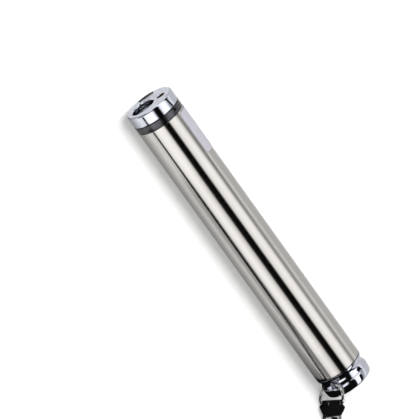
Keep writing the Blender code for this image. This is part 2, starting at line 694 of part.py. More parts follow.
def tail_contact():
    """Brass seat in the cap and the coned spring that presses on the cell."""
    bore = TUBE_BORE - RUN - THREAD_WALL
    boss = SEAT_BACK + SEAT_THICKNESS + SEAT_BOSS
    front = SEAT_BACK + SEAT_THICKNESS
    boss_radius = SPRING_TIP - SPRING_WIRE - GAP
    seat = turned("spring_seat", [
        (SEAT_BACK, 0), (SEAT_BACK, bore - GAP), (front, bore - GAP), (front, boss_radius),
        (boss, boss_radius), (boss, 0)], BRASS, INNER_FACETS)
    path = coil_path(SPRING_BACK + SPRING_WIRE, SPRING_BACK + SPRING_LENGTH - SPRING_WIRE,
                     SPRING_BASE, SPRING_TIP, SPRING_TURNS)
    print_least_gap("tail_spring", path, SPRING_WIRE)
    spring = wire("tail_spring", path, SPRING_WIRE, SPRING_STEEL, roundness=1)
    return [seat, spring]


# Bail and strap

ALONG = Vector((-math.cos(STRAP_ANGLE), math.sin(STRAP_ANGLE), 0))
ACROSS = Vector((-math.sin(STRAP_ANGLE), -math.cos(STRAP_ANGLE), 0))
EYE_RADIUS = WIRE + EYE_PLAY + TAB_LAYER
BAR = Vector((-BAR_BACK, BAR_SIDE, FLOOR + BAIL_LIFT + EYE_RADIUS))
TONGUE_LOW = -EYE_RADIUS + FERRULE_WALL + GAP


def on_strap(along, across, height):
    """A point in the strap's own directions, from the middle of the bail's bar."""
    return BAR + along * ALONG + across * ACROSS + Vector((0, 0, height))


# Shares of the cross hole's place and of the flange's radius, from the hole's top outwards
BAIL_ARCH_SHARES = (
    (1.0, 1.0, 0.62), (0.99, 0.94, 0.91), (0.78, 0.83, 1.05), (0.40, 0.91, 1.05),
    (0.03, 1.07, 1.0), (-0.24, 1.17, 0.79), (-0.62, 1.23, 0.345), (-1.16, 1.24, -0.33))
# The same from where the bar's lower leg leaves the table to the hole's bottom
BAIL_RETURN_SHARES = ((0.24, 1.70, -0.935), (0.70, 1.29, -0.935), (0.95, 1.03, -0.90),
                      (1.0, 1.0, -0.73), (1.0, 1.0, -0.35), (1.0, 1.0, 0.0))


def bail_path():
    """The bail's way: up through the hole, over the flange, along the bar and back."""
    def share(x, y, z):
        return Vector((x * BAIL_HOLE_BACK, y * BAIL_HOLE_SIDE, z * FLANGE_RADIUS))

    half = BAR_LENGTH / 2
    inner = half - BAR_ROUND
    bar = [on_strap(-BAR_ROUND, half, BAR_ROUND / 4), on_strap(0, inner, 0), on_strap(0, 0, 0),
           on_strap(0, -inner, 0), on_strap(-BAR_ROUND, -half, 0)]
    return ([share(*place) for place in BAIL_ARCH_SHARES] + bar
            + [share(*place) for place in BAIL_RETURN_SHARES])


def wire_bail():
    """Springy steel wire loop through the cap, with a straight bar for the strap."""
    return wire("wire_bail", bail_path(), WIRE, SPRING_STEEL, closed=True, smooth=True)


def strap_tab():
    """Flat black tab folded round the bail's bar, both layers running into the ferrule."""
    tongue = FERRULE_START + FERRULE_POCKET - GAP
    neck = FERRULE_START - 2 * GAP
    mouth = FERRULE_START - GAP
    slab = TAB_LAYER * 2
    lean = EYE_RADIUS - slab / 2
    stations = []
    for share in TAB_EYE_SHARES:
        rise = EYE_RADIUS * math.sqrt(1 - share ** 2)
        stations.append((share * EYE_RADIUS, TAB_EYE_WIDTH, -rise, rise))
    settle = (FERRULE_START + TAB_WIDEST) / 2
    stations.append((TAB_WIDEST / 2, TAB_EYE_WIDTH, -EYE_RADIUS, lean + TAB_LAYER / 2))
    stations.append((TAB_WIDEST, TAB_WIDTH, -EYE_RADIUS, slab / 2))
    stations.append((settle, (TAB_WIDTH + TAB_NECK_WIDTH) / 2, -EYE_RADIUS, lean / 2))
    stations.append((neck, TAB_NECK_WIDTH, -EYE_RADIUS, slab - EYE_RADIUS))
    stations.append((mouth, TAB_TONGUE_WIDTH, TONGUE_LOW, TONGUE_LOW + slab - GAP))
    stations.append((tongue, TAB_TONGUE_WIDTH, TONGUE_LOW, TONGUE_LOW + slab - GAP))
    work = bmesh.new()
    rings = []
    for along, width, low, high in stations:
        rings.append([work.verts.new(on_strap(along, across, height)) for across, height in (
            (-width / 2, low), (width / 2, low), (width / 2, high), (-width / 2, high))])
    skin(work, rings)
    tab = to_object("strap_tab", work, BLACK_STRAP)
    eye = bmesh.new()
    turn = ACROSS.to_track_quat("Z", "Y").to_matrix().to_4x4()
    bmesh.ops.create_cone(
        eye, cap_ends=True, segments=SMALL_FACETS // 2, radius1=WIRE + EYE_PLAY,
        radius2=WIRE + EYE_PLAY, depth=TAB_WIDTH + OVERRUN,
        matrix=Matrix.Translation(BAR) @ turn)
    return tab, cut(tab, eye, "cut_eye")


def oval(work, back, front, width, low, high):
    """Add a rounded bar along the strap to a bmesh."""
    thick = high - low
    middle = (high + low) / 2
    corner = OVAL_SHARE * thick
    steps = 4
    outline = []
    for side, up in ((1, 1), (-1, 1), (-1, -1), (1, -1)):
        for step in range(steps + 1):
            turn = math.pi / 2 * step / steps
            if side * up < 0:
                turn = math.pi / 2 - turn
            outline.append((side * (width / 2 - corner + corner * math.cos(turn)),
                            middle + up * (thick / 2 - corner + corner * math.sin(turn))))
    rings = [[work.verts.new(on_strap(along, across, height)) for across, height in outline]
             for along in (back, front)]
    skin(work, rings)


def crimp_ferrule():
    """Bright oval sleeve crimped over the tab's tongue and the cord's two ends."""
    end = FERRULE_START + FERRULE_LENGTH
    top = -EYE_RADIUS + FERRULE_THICKNESS
    work = bmesh.new()
    oval(work, FERRULE_START, end, FERRULE_WIDTH, -EYE_RADIUS, top)
    ferrule = to_object("crimp_ferrule", work, CHROME)
    front = bmesh.new()
    slot = (FERRULE_WIDTH - 2 * FERRULE_WALL, TONGUE_LOW - GAP, TONGUE_LOW + 2 * TAB_LAYER)
    oval(front, FERRULE_START - OVERRUN, FERRULE_START + FERRULE_POCKET, *slot)
    rear = bmesh.new()
    oval(rear, end - FERRULE_POCKET, end + OVERRUN, FERRULE_WIDTH - 2 * FERRULE_WALL,
         -EYE_RADIUS + FERRULE_WALL, top - FERRULE_WALL)
    return ferrule, [cut(ferrule, front, "cut_tongue_pocket"), cut(ferrule, rear, "cut_cord_pocket")]


# The cord's way along the table, chosen by hand: out of the ferrule beside the cord's
# other end, back behind the tail, folded home towards it, round at the loop's far end,
# and back the same way to the ferrule
CORD_ROUTE = [
    (-0.01032, 0.01248, -0.00549), (-0.01360, 0.01470, -0.00553), (-0.01820, 0.01730, -0.00598),
    (-0.02390, 0.01850, -0.00602), (-0.03250, 0.01850, -0.00602), (-0.05700, 0.01850, -0.00602),
    (-0.06500, 0.01850, -0.00602), (-0.07000, 0.01850, -0.00602), (-0.07490, 0.01670, -0.00602),
    (-0.07770, 0.01200, -0.00602), (-0.07670, 0.00680, -0.00602), (-0.07260, 0.00350, -0.00602),
    (-0.06740, 0.00300, -0.00602), (-0.06050, 0.00300, -0.00602), (-0.05200, 0.00300, -0.00602),
    (-0.04600, 0.00300, -0.00602), (-0.04060, 0.00200, -0.00602), (-0.03520, -0.00050, -0.00602),
    (-0.02910, -0.00110, -0.00602), (-0.02590, 0.00190, -0.00602), (-0.02590, 0.00640, -0.00602),
    (-0.02910, 0.00940, -0.00602), (-0.03520, 0.00890, -0.00602), (-0.04060, 0.00630, -0.00602),
    (-0.04600, 0.00530, -0.00602), (-0.05200, 0.00530, -0.00602), (-0.06050, 0.00530, -0.00602),
    (-0.06740, 0.00530, -0.00602), (-0.07180, 0.00560, -0.00602), (-0.07470, 0.00800, -0.00602),
    (-0.07540, 0.01160, -0.00602), (-0.07350, 0.01500, -0.00602), (-0.07000, 0.01620, -0.00602),
    (-0.06500, 0.01620, -0.00602), (-0.05700, 0.01620, -0.00602), (-0.03250, 0.01620, -0.00602),
    (-0.02400, 0.01620, -0.00602), (-0.01900, 0.01520, -0.00595), (-0.01490, 0.01280, -0.00553),
    (-0.01158, 0.01062, -0.00549)]


def smooth_route(route, count):
    """Points, evenly apart, on a smooth curve through the points of a route."""
    knots = [Vector(point) for point in route]
    knots = [2 * knots[0] - knots[1], *knots, 2 * knots[-1] - knots[-2]]
    fine = []
    for before, first, second, after in zip(knots, knots[1:], knots[2:], knots[3:]):
        for step in range(ROUTE_STEPS):
            t = step / ROUTE_STEPS
            fine.append(0.5 * (2 * first + t * (second - before)
                               + t ** 2 * (2 * before - 5 * first + 4 * second - after)
                               + t ** 3 * (3 * first - before - 3 * second + after)))
    fine.append(knots[-2])
    lengths = [0.0]
    for first, second in zip(fine, fine[1:]):
        lengths.append(lengths[-1] + (second - first).length)
    points = []
    number = 0
    for step in range(count + 1):
        wanted = lengths[-1] * step / count
        while number < len(fine) - 2 and lengths[number + 1] < wanted:
            number += 1
        share = (wanted - lengths[number]) / (lengths[number + 1] - lengths[number])
        points.append(fine[number].lerp(fine[number + 1], share))
    print(f"cord: {lengths[-1] / MM:.1f} mm long")
    return points


def wrist_cord():
    """Round black cord, doubled back into the ferrule to make the wrist loop."""
    return wire("wrist_cord", smooth_route(CORD_ROUTE, CORD_STEPS), CORD_RADIUS, BLACK_STRAP)


def main():
    start_empty()
    cap, windows = head_cap()
    carrier, pockets = lamp_carrier()
    head = [cap, windows, knurled_ring(), led_reflector(), led_lamp(), *led_legs(),
            laser_barrel(), *laser_leads(), carrier, *pockets, *laser_optics(), *circuit()]
    hold(head, pivot("head_axis", (FACE, 0, 0)))
    tube()
    label()
    snap_ring()
    switch_base()
    cell()
    liner()
    tail, hole = tail_cap()
    hold([tail, hole, tail_seal(), *tail_contact()], pivot("tail_axis", (0, 0, 0)))
    hold([wire_bail()], pivot("bail_axis", (BAIL_HOLE_BACK, BAIL_HOLE_SIDE, 0)))
    tab, eye = strap_tab()
    ferrule, ferrule_cutters = crimp_ferrule()
    hold([tab, eye, ferrule, *ferrule_cutters, wrist_cord()], pivot("tab_axis", BAR))


main()
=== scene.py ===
# %% [markdown]
# This lesson dresses a small steel torch. Its head holds a white LED and a laser side by
# side, a screwed cap closes its tail, and a wrist strap hangs on a wire bail.
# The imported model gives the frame: every piece at its real size and place, in metres. We
# keep that frame as it is and make the surfaces that the eye sees around it.

# %% Load the frame and measure it
import math

import bpy
from mathutils import Matrix, Vector


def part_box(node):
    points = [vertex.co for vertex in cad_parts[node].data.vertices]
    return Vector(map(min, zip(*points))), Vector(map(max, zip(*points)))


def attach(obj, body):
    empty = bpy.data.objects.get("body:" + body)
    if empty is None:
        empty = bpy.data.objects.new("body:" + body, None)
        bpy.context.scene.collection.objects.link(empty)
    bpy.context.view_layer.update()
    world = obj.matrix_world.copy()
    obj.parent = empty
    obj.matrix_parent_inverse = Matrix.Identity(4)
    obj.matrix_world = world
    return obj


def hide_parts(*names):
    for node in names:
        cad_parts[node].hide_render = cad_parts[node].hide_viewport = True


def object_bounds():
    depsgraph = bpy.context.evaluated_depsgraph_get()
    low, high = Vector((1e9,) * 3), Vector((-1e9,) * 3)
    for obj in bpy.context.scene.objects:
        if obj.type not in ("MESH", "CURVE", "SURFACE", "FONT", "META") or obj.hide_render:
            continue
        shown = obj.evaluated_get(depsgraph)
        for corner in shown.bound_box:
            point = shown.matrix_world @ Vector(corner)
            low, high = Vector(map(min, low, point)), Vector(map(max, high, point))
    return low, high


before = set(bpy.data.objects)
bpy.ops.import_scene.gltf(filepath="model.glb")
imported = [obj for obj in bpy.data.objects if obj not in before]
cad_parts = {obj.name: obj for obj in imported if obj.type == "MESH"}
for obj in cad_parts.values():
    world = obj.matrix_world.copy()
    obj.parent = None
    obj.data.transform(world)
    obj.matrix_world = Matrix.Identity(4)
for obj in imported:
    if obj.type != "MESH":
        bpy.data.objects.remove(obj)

MM = 0.001
cad_box = [list(corner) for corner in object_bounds()]
print("size in mm:", [round((high - low) / MM, 1) for low, high in zip(*cad_box)])

# %% [markdown]
# The picture was taken from nearly above, with the head at the upper left. We give the
# camera its place and its three directions outright, which is exact and easy to read
# again. A long lens far away keeps the tube's two edges almost parallel.

# %% Place the camera
IMAGE_PIXELS = 419
FOCAL_PIXELS = 4845
SENSOR_WIDTH = 36
NEAREST_VIEW = 0.01
CAMERA_PLACE = Vector((471.99, 0, 1229.17)) * MM
CAMERA_RIGHT = Vector((-0.55417, -0.81226, 0.18200))
CAMERA_UP = Vector((0.77028, -0.58329, -0.25776))


def add_camera():
    """A camera with the photograph's place, directions and field of view."""
    lens = bpy.data.cameras.new("camera")
    lens.sensor_width = SENSOR_WIDTH
    lens.lens = SENSOR_WIDTH * FOCAL_PIXELS / IMAGE_PIXELS
    lens.clip_start = NEAREST_VIEW
    camera = bpy.data.objects.new("camera", lens)
    back = CAMERA_RIGHT.cross(CAMERA_UP).normalized()
    turn = Matrix((CAMERA_RIGHT.normalized(), back.cross(CAMERA_RIGHT).normalized(), back))
    camera.matrix_world = Matrix.Translation(CAMERA_PLACE) @ turn.transposed().to_4x4()
    bpy.context.scene.collection.objects.link(camera)
    bpy.context.scene.camera = camera
    return camera


camera = add_camera()
print("lens:", round(camera.data.lens, 1), "mm")

# %% [markdown]
# The wrist cord leaves the ferrule doubled. It isn't in the picture, so we put it away as
# one would on a shelf: back behind the tail, folded once, and round at the loop's far end.
# We choose its points so that nothing crosses and no bend is too tight, and let a
# smooth curve run through them.

# %% Plan the wrist cord's route
CORD_ROUTE = [
    (-0.01032, 0.01248, -0.00549), (-0.01360, 0.01470, -0.00553), (-0.01820, 0.01730, -0.00598),
    (-0.02390, 0.01850, -0.00602), (-0.03250, 0.01850, -0.00602), (-0.05700, 0.01850, -0.00602),
    (-0.06500, 0.01850, -0.00602), (-0.07000, 0.01850, -0.00602), (-0.07490, 0.01670, -0.00602),
    (-0.07770, 0.01200, -0.00602), (-0.07670, 0.00680, -0.00602), (-0.07260, 0.00350, -0.00602),
    (-0.06740, 0.00300, -0.00602), (-0.06050, 0.00300, -0.00602), (-0.05200, 0.00300, -0.00602),
    (-0.04600, 0.00300, -0.00602), (-0.04060, 0.00200, -0.00602), (-0.03520, -0.00050, -0.00602),
    (-0.02910, -0.00110, -0.00602), (-0.02590, 0.00190, -0.00602), (-0.02590, 0.00640, -0.00602),
    (-0.02910, 0.00940, -0.00602), (-0.03520, 0.00890, -0.00602), (-0.04060, 0.00630, -0.00602),
    (-0.04600, 0.00530, -0.00602), (-0.05200, 0.00530, -0.00602), (-0.06050, 0.00530, -0.00602),
    (-0.06740, 0.00530, -0.00602), (-0.07180, 0.00560, -0.00602), (-0.07470, 0.00800, -0.00602),
    (-0.07540, 0.01160, -0.00602), (-0.07350, 0.01500, -0.00602), (-0.07000, 0.01620, -0.00602),
    (-0.06500, 0.01620, -0.00602), (-0.05700, 0.01620, -0.00602), (-0.03250, 0.01620, -0.00602),
    (-0.02400, 0.01620, -0.00602), (-0.01900, 0.01520, -0.00595), (-0.01490, 0.01280, -0.00553),
    (-0.01158, 0.01062, -0.00549)]
CORD_RADIUS = 1.0 * MM
ROUTE_STEPS = 24
print("route points:", len(CORD_ROUTE))

# %% [markdown]
# A smooth curve through given points is worked out piece by piece: between two of them it
# leans on the point before and the point after, so that no bend shows where pieces meet.

# %% Run a smooth line through the route
def smooth_route(route):
    """Points on one smooth curve through the points of a route."""
    knots = [Vector(point) for point in route]
    knots = [2 * knots[0] - knots[1], *knots, 2 * knots[-1] - knots[-2]]
    points = []
    for before, first, second, after in zip(knots, knots[1:], knots[2:], knots[3:]):
        for step in range(ROUTE_STEPS):
            t = step / ROUTE_STEPS
            points.append(0.5 * (2 * first + t * (second - before)
                                 + t ** 2 * (2 * before - 5 * first + 4 * second - after)
                                 + t ** 3 * (3 * first - before - 3 * second + after)))
    points.append(knots[-2])
    return points


def path_length(points):
    """The length of a line through points."""
    return sum((second - first).length for first, second in zip(points, points[1:]))


cord_path = smooth_route(CORD_ROUTE)
CORD_LENGTH = path_length(cord_path)
print("cord:", round(CORD_LENGTH / MM, 1), "mm")

# %% [markdown]
# The line becomes a cord as a curve with a round bevel. Turning the curve into a mesh keeps
# a map along and around the cord that the braid can follow. The wire bail and the stitches
# are made the same way later on, so the steps are helpers of their own.

# %% Draw the cord as a round wire
WIRE_SMOOTH_ANGLE = math.radians(40)


def select_only(*things):
    """Leave edit mode and select nothing but these objects."""
    if bpy.context.object and bpy.context.object.mode != "OBJECT":
        bpy.ops.object.mode_set(mode="OBJECT")
    bpy.ops.object.select_all(action="DESELECT")
    for thing in things:
        thing.select_set(True)
        bpy.context.view_layer.objects.active = thing


def new_wire(name, radius, roundness):
    """A curve with a round bevel, as thick as a wire or cord, still without its line."""
    path = bpy.data.curves.new(name, "CURVE")
    path.dimensions = "3D"
    path.bevel_depth = radius
    path.bevel_resolution = roundness
    return path


def wire_mesh(name, path):
    """Turn a finished curve into a mesh."""
    made = bpy.data.objects.new(name, path)
    bpy.context.scene.collection.objects.link(made)
    select_only(made)
    bpy.ops.object.convert(target="MESH")
    return bpy.context.object


def round_wire(name, points, radius, roundness=6):
    """A round wire or cord along points, with closed ends."""
    path = new_wire(name, radius, roundness)
    path.use_fill_caps = True
    line = path.splines.new("POLY")
    line.points.add(len(points) - 1)
    for knot, point in zip(line.points, points):
        knot.co = (*point, 1)
    made = wire_mesh(name, path)
    bpy.ops.object.shade_smooth_by_angle(angle=WIRE_SMOOTH_ANGLE)
    return made


cord = round_wire("wrist_cord_braided", cord_path, CORD_RADIUS)
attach(cord, "strap")
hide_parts("wrist_cord")
print("cord mesh:", len(cord.data.polygons), "faces")

# %% [markdown]
# Every look in this lesson is built from shader nodes. One small function adds a node, sets
# it up and links it, so that each material below reads as a short list of its layers. Its
# patterns are sized in millimetres, because the torch has its real size.

# %% A small function that adds a shader node
def add_node(tree, kind, settings=None, feeds=None, **inputs):
    """A node with its settings and its inputs, each a value, a socket or a whole node.

    feeds names the socket of the material's shader that the new node drives.
    """
    made = tree.nodes.new("ShaderNode" + kind)
    for key, value in (settings or {}).items():
        setattr(made, key, value)
    for key, value in inputs.items():
        socket = next(s for s in made.inputs if s.identifier.replace(" ", "_") == key)
        if isinstance(value, bpy.types.Node):
            value = next(s for s in value.outputs if s.enabled)
        if isinstance(value, bpy.types.NodeSocket):
            tree.links.new(value, socket)
        else:
            socket.default_value = value
    if feeds:
        shader = tree.nodes["Principled BSDF"]
        tree.links.new(next(s for s in made.outputs if s.enabled), shader.inputs[feeds])
    return made


def colour(hex_text):
    """A colour written as sRGB hex, as linear light."""
    shares = [int(hex_text[place:place + 2], 16) / 255 for place in (0, 2, 4)]
    linear = [s / 12.92 if s <= 0.04045 else ((s + 0.055) / 1.055) ** 2.4 for s in shares]
    return (*linear, 1.0)


def start_material(name, **values):
    """A material with its shader's own values, its node tree and its Object coordinates."""
    made = bpy.data.materials.new(name)
    made.use_nodes = True
    tree = made.node_tree
    for key, value in values.items():
        tree.nodes["Principled BSDF"].inputs[key.replace("_", " ")].default_value = value
    return made, tree, add_node(tree, "TexCoord").outputs["Object"]


def per_mm(spacing):
    """The scale of a pattern whose marks lie this many millimetres apart."""
    return 1 / (spacing * MM)


# %% [markdown]
# A studio picture on white paper needs a pale floor that still takes a shadow. The floor is
# a matt white sheet. A little of its white is given straight to camera, glossy and glass
# rays, so that the background and its mirror images stay clean while the shadow remains.

# %% Lay the floor
FLOOR_SIZE = 3.0
FLOOR_GLOW = 0.2
FLOOR_GAP = 0.02 * MM
floor_height = cad_box[0][2] - FLOOR_GAP


def seen_directly(tree):
    """1 for camera, mirror and glass rays, 0 for the light that falls on things."""
    ray = add_node(tree, "LightPath")
    either = add_node(tree, "Math", {"operation": "MAXIMUM"},
                      Value=ray.outputs["Is Camera Ray"], Value_001=ray.outputs["Is Glossy Ray"])
    return add_node(tree, "Math", {"operation": "MAXIMUM"},
                    Value=either, Value_001=ray.outputs["Is Transmission Ray"])


def white_paper():
    """Matt drawing paper: no shine at all, with a tooth too fine to see from here."""
    made, tree, place = start_material("white_paper", Base_Color=colour("F2F2F1"), Roughness=1.0,
                                       Specular_IOR_Level=0.0, Emission_Color=(1, 1, 1, 1))
    add_node(tree, "Math", {"operation": "MULTIPLY"}, feeds="Emission Strength",
             Value=seen_directly(tree), Value_001=FLOOR_GLOW)
    tooth = add_node(tree, "TexNoise", Vector=place, Scale=per_mm(0.4), Detail=4.0)
    add_node(tree, "Bump", feeds="Normal", Height=tooth, Distance=0.01 * MM, Strength=0.3)
    return made


def add_floor():
    """A wide sheet of white paper under the torch."""
    select_only()
    bpy.ops.mesh.primitive_plane_add(size=FLOOR_SIZE, location=(0, 0, floor_height))
    floor = bpy.context.object
    floor.name = "floor"
    floor.data.materials.append(white_paper())


add_floor()
print("floor at", round(floor_height / MM, 2), "mm")

# %% [markdown]
# The light on the object is plain: an even white sky and one soft lamp high on the right,
# which lays a short soft shadow to the left of the torch.

# %% Set the sky and the lamp
SKY_FILL = 0.42
KEY_WATTS = 11.0
KEY_PLACE = Vector((0.38, -0.37, 1.10))
KEY_SIZE = 0.5
KEY_AIM = Vector((0.05, 0, 0))


def add_sky():
    """White where it is seen directly, and a plain soft fill where it lights things."""
    world = bpy.data.worlds.new("studio")
    world.use_nodes = True
    bpy.context.scene.world = world
    tree = world.node_tree
    level = add_node(tree, "MapRange", Value=seen_directly(tree), To_Min=SKY_FILL, To_Max=1.0)
    tree.links.new(level.outputs[0], tree.nodes["Background"].inputs["Strength"])
    tree.nodes["Background"].inputs["Color"].default_value = (1, 1, 1, 1)


def add_key():
    """One soft lamp that mirrors don't show, because the cards shape what they show."""
    lamp = bpy.data.lights.new("key", "AREA")
    lamp.shape = "DISK"
    lamp.size = KEY_SIZE
    lamp.energy = KEY_WATTS
    key = bpy.data.objects.new("key", lamp)
    key.location = KEY_PLACE
    key.rotation_euler = (KEY_AIM - KEY_PLACE).to_track_quat("-Z", "Y").to_euler()
    key.visible_glossy = False
    key.visible_transmission = False
    bpy.context.scene.collection.objects.link(key)
    return key


bpy.context.scene.view_settings.view_transform = "Standard"
add_sky()
print("lamp at", round((add_key().location - KEY_AIM).length, 2), "m from the torch")

# %% [markdown]
# Bright metal has almost no colour of its own: what we see on it is the room. Photographers
# bend long white cards over such a piece and leave a dark gap between them, which draws the
# black line down its middle. We do the same with quarter tunnels of card that only mirror
# rays can see, so they shape the reflections and light nothing else. First come their
# measures: how bright each card is at each angle round the torch, as from a lamp that
# fades, and how far it reaches along the torch.

# %% Measure out the cards
CARD_DISTANCE = 0.55
HEAD_CARD_DISTANCE = 0.545
TUNNEL_DISTANCE = 0.58
CARD_GLOW = 1.8
VELVET_GLOW = 0.003
# Degrees from straight up, and the brightness there as a share of CARD_GLOW
LEFT_CARD = ((0, 0.006), (3.5, 0.03), (6, 0.3), (11, 0.62), (17, 0.76), (24, 0.88), (30, 0.96),
             (36, 0.96), (42, 0.88), (48, 0.82), (52, 0.7), (56, 0.26), (60, 0.17), (65, 0.26),
             (74, 0.31), (81, 0.36), (88, 0.48))
RIGHT_CARD = ((0, 0.006), (12, 0.001), (20, 0.003), (22.5, 0.08), (25.5, 0.48), (29, 0.74),
              (36, 0.86), (46, 0.94), (54, 0.93), (61, 0.82), (67, 0.6), (71, 0.32), (75, 0.24),
              (79, 0.3), (83, 0.42), (89, 0.5))
# A card just inside the left one, with a steeper and brighter fall-off for the head
HEAD_CARD = ((0, 0.006), (2.5, 0.1), (4.6, 0.36), (8, 0.66), (11.5, 0.84), (17, 0.92), (26, 0.97),
             (36, 0.98), (48, 0.88), (53, 0.76), (57, 0.5), (62, 0.52), (74, 0.66), (89, 0.7))
# Where each card starts and ends along the torch, in metres
LEFT_REACH = (-0.213, 0.15)
FAR_REACH = (0.62, 4.0)
RIGHT_REACH = (-0.75, 4.0)
HEAD_REACH = (-0.098, 0.15)
TUNNEL_REACH = (-4.0, 4.0)
print("fades, in steps:", len(LEFT_CARD), len(RIGHT_CARD), len(HEAD_CARD))

# %% [markdown]
# Threads and a strip of black velvet hang between the cards and the torch, which mirrors
# them as fine dark lines. What hangs far off is mirrored softly. The head is only a few
# millimetres long and its line starts and ends there, so its own thread hangs close to it.

# %% Measure out the velvet threads
STRIP_DISTANCE = 0.54
RIGHT_THREAD_DISTANCE = 0.538
NEAR_DISTANCE = 0.02
# Metres along the torch, degrees from straight up, and half the thread's width in degrees
LEFT_THREAD = ((-0.215, 82, 12), (-0.203, 84, 9), (-0.196, 86, 5.5), (-0.187, 80, 5.5),
               (-0.1786, 74, 5.2), (-0.170, 69, 5.2), (-0.161, 67, 5.5), (-0.144, 65.5, 5.5),
               (-0.127, 64, 5.5), (-0.1095, 62.5, 5.2), (-0.092, 61.5, 4.0), (-0.080, 61, 3.4),
               (-0.05, 60, 4.5))
# Wide where the tail cap and its neck mirror it, thin at the head and thinnest at the tube
RIGHT_THREAD = ((-0.75, -62, 8), (-0.215, -62, 8), (-0.2065, -63, 6), (-0.2045, -64, 0.1),
                (-0.125, -75, 0.1), (-0.100, -79, 1), (-0.0867, -80.5, 1.8), (-0.078, -81, 1),
                (-0.073, -81, 0.1), (-0.05, -76, 0.1), (0.12, -76, 12), (0.5, -76, 12))
HEAD_THREAD = ((0.0877, -70, 7), (0.0896, -72, 7), (0.0899, -71.9, 3.8), (0.0907, -69.5, 3.8),
               (0.0914, -67.9, 3.8), (0.0920, -66, 3.6), (0.0929, -64.5, 3.6),
               (0.0945, -61, 3.6))
# A strip that widens the gap between the cards for the tail cap: metres along the torch,
# then its two edges in degrees
TAIL_GAP = ((-0.75, -29, -10), (-0.2068, -29, -10))


def card_edges(reach, start, end):
    """A card's two edges, in degrees, at both its ends along the torch."""
    return [(along, start, end) for along in reach]


def thread_edges(thread):
    """A thread's two edges, in degrees, at each of its places along the torch."""
    return [(along, middle - half, middle + half) for along, middle, half in thread]


print("thread places:", len(LEFT_THREAD), len(RIGHT_THREAD), len(HEAD_THREAD))

# %% [markdown]
# A card is a plain grid whose points are moved onto part of a tunnel round the torch. Its
# light is an emission, and a colour ramp over the angle sets how bright it is where.

# %% Bend the cards over the torch
CARD_STEPS = 24


def fill_ramp(ramp, stops, full):
    """Give a colour ramp its greys, from places and levels; full is the ramp's far end."""
    for number, (place, level) in enumerate(stops):
        if number < 2:
            stop = ramp.elements[number]
            stop.position = place / full
        else:
            stop = ramp.elements.new(place / full)
        stop.color = (level, level, level, 1)


def card_material(name, stops):
    """A card lit unevenly: a colour ramp over the angle round the torch."""
    made, tree, place = start_material(name, Base_Color=(0, 0, 0, 1), Specular_IOR_Level=0.0,
                                       Emission_Strength=CARD_GLOW)
    split = add_node(tree, "SeparateXYZ", Vector=place)
    turn = add_node(tree, "Math", {"operation": "ARCTAN2"}, Value=split.outputs["Y"],
                    Value_001=split.outputs["Z"])
    size = add_node(tree, "Math", {"operation": "ABSOLUTE"}, Value=turn)
    share = add_node(tree, "MapRange", Value=size, From_Max=math.pi / 2)
    ramp = add_node(tree, "ValToRGB", feeds="Emission Color", Fac=share).color_ramp
    fill_ramp(ramp, stops, 90)
    return made


def hide_from_all_but_mirrors(card):
    """Leave an object to mirror rays alone."""
    card.visible_camera = False
    card.visible_diffuse = False
    card.visible_shadow = False
    card.visible_transmission = False


def bent_card(name, places, distance, material):
    """A strip whose two edges are given as degrees from straight up, along the torch."""
    select_only()
    spans = len(places) - 1
    bpy.ops.mesh.primitive_grid_add(x_subdivisions=spans, y_subdivisions=CARD_STEPS, size=1)
    card = bpy.context.object
    card.name = name
    for corner in card.data.vertices:
        along, start, end = places[round((corner.co.x + 0.5) * spans)]
        turn = math.radians(start + (end - start) * (corner.co.y + 0.5))
        corner.co = (along, distance * math.sin(turn), distance * math.cos(turn))
    card.data.materials.append(material)
    hide_from_all_but_mirrors(card)
    return card


velvet = card_material("black_velvet", ((0, VELVET_GLOW), (90, VELVET_GLOW)))
left_glow = card_material("card_left", LEFT_CARD)
right_glow = card_material("card_right", RIGHT_CARD)
head_glow = card_material("card_head", HEAD_CARD)
cards = [
    bent_card("card_left", card_edges(LEFT_REACH, 0, 90), CARD_DISTANCE, left_glow),
    bent_card("card_left_far", card_edges(FAR_REACH, 0, 90), CARD_DISTANCE, left_glow),
    bent_card("card_right", card_edges(RIGHT_REACH, 0, -90), CARD_DISTANCE, right_glow),
    bent_card("card_head", card_edges(HEAD_REACH, 0, 90), HEAD_CARD_DISTANCE, head_glow),
    bent_card("dark_tunnel", card_edges(TUNNEL_REACH, -90, 90), TUNNEL_DISTANCE, velvet),
    bent_card("tail_gap", TAIL_GAP, STRIP_DISTANCE, velvet),
    bent_card("head_thread", thread_edges(HEAD_THREAD), NEAR_DISTANCE, velvet),
    bent_card("left_thread", thread_edges(LEFT_THREAD), STRIP_DISTANCE, velvet),
    bent_card("right_thread", thread_edges(RIGHT_THREAD), RIGHT_THREAD_DISTANCE, velvet)]
print("cards:", len(cards))

# %% [markdown]
# The torch's sides mirror the table beside it. Two grey sheets lie along the torch just
# above the paper, again for mirror rays alone. They glow as a painted reflection of the
# table, with painted shade that makes them greyer near the torch. They shade the sides,
# and the tube looks round to its very edge.

# %% Lay the grey sheets
SHEET_LENGTH = 0.6
SHEET_START = 7.6 * MM
SHEET_END = 120 * MM
SHEET_LIFT = 0.1 * MM
# Millimetres from the torch's middle, and how bright the sheet is there, dim near the torch as
# painted shade
LEFT_SHEET = ((7.6, 0.32), (13, 0.42), (19, 0.52), (28, 0.68), (44, 0.86), (100, 0.97))
RIGHT_SHEET = ((7.6, 0.7), (19, 0.74), (28, 0.76), (44, 0.82), (100, 0.97))
# The left sheet also turns dark towards the tail, along a slant: how much farther back for
# each step out from the torch, then millimetres from the tail and the share of light there
SHEET_SLANT = 0.333
LEFT_FADE = ((5, 0.01), (7, 0.4), (12, 0.62), (20, 0.8), (34, 0.96), (50, 1))


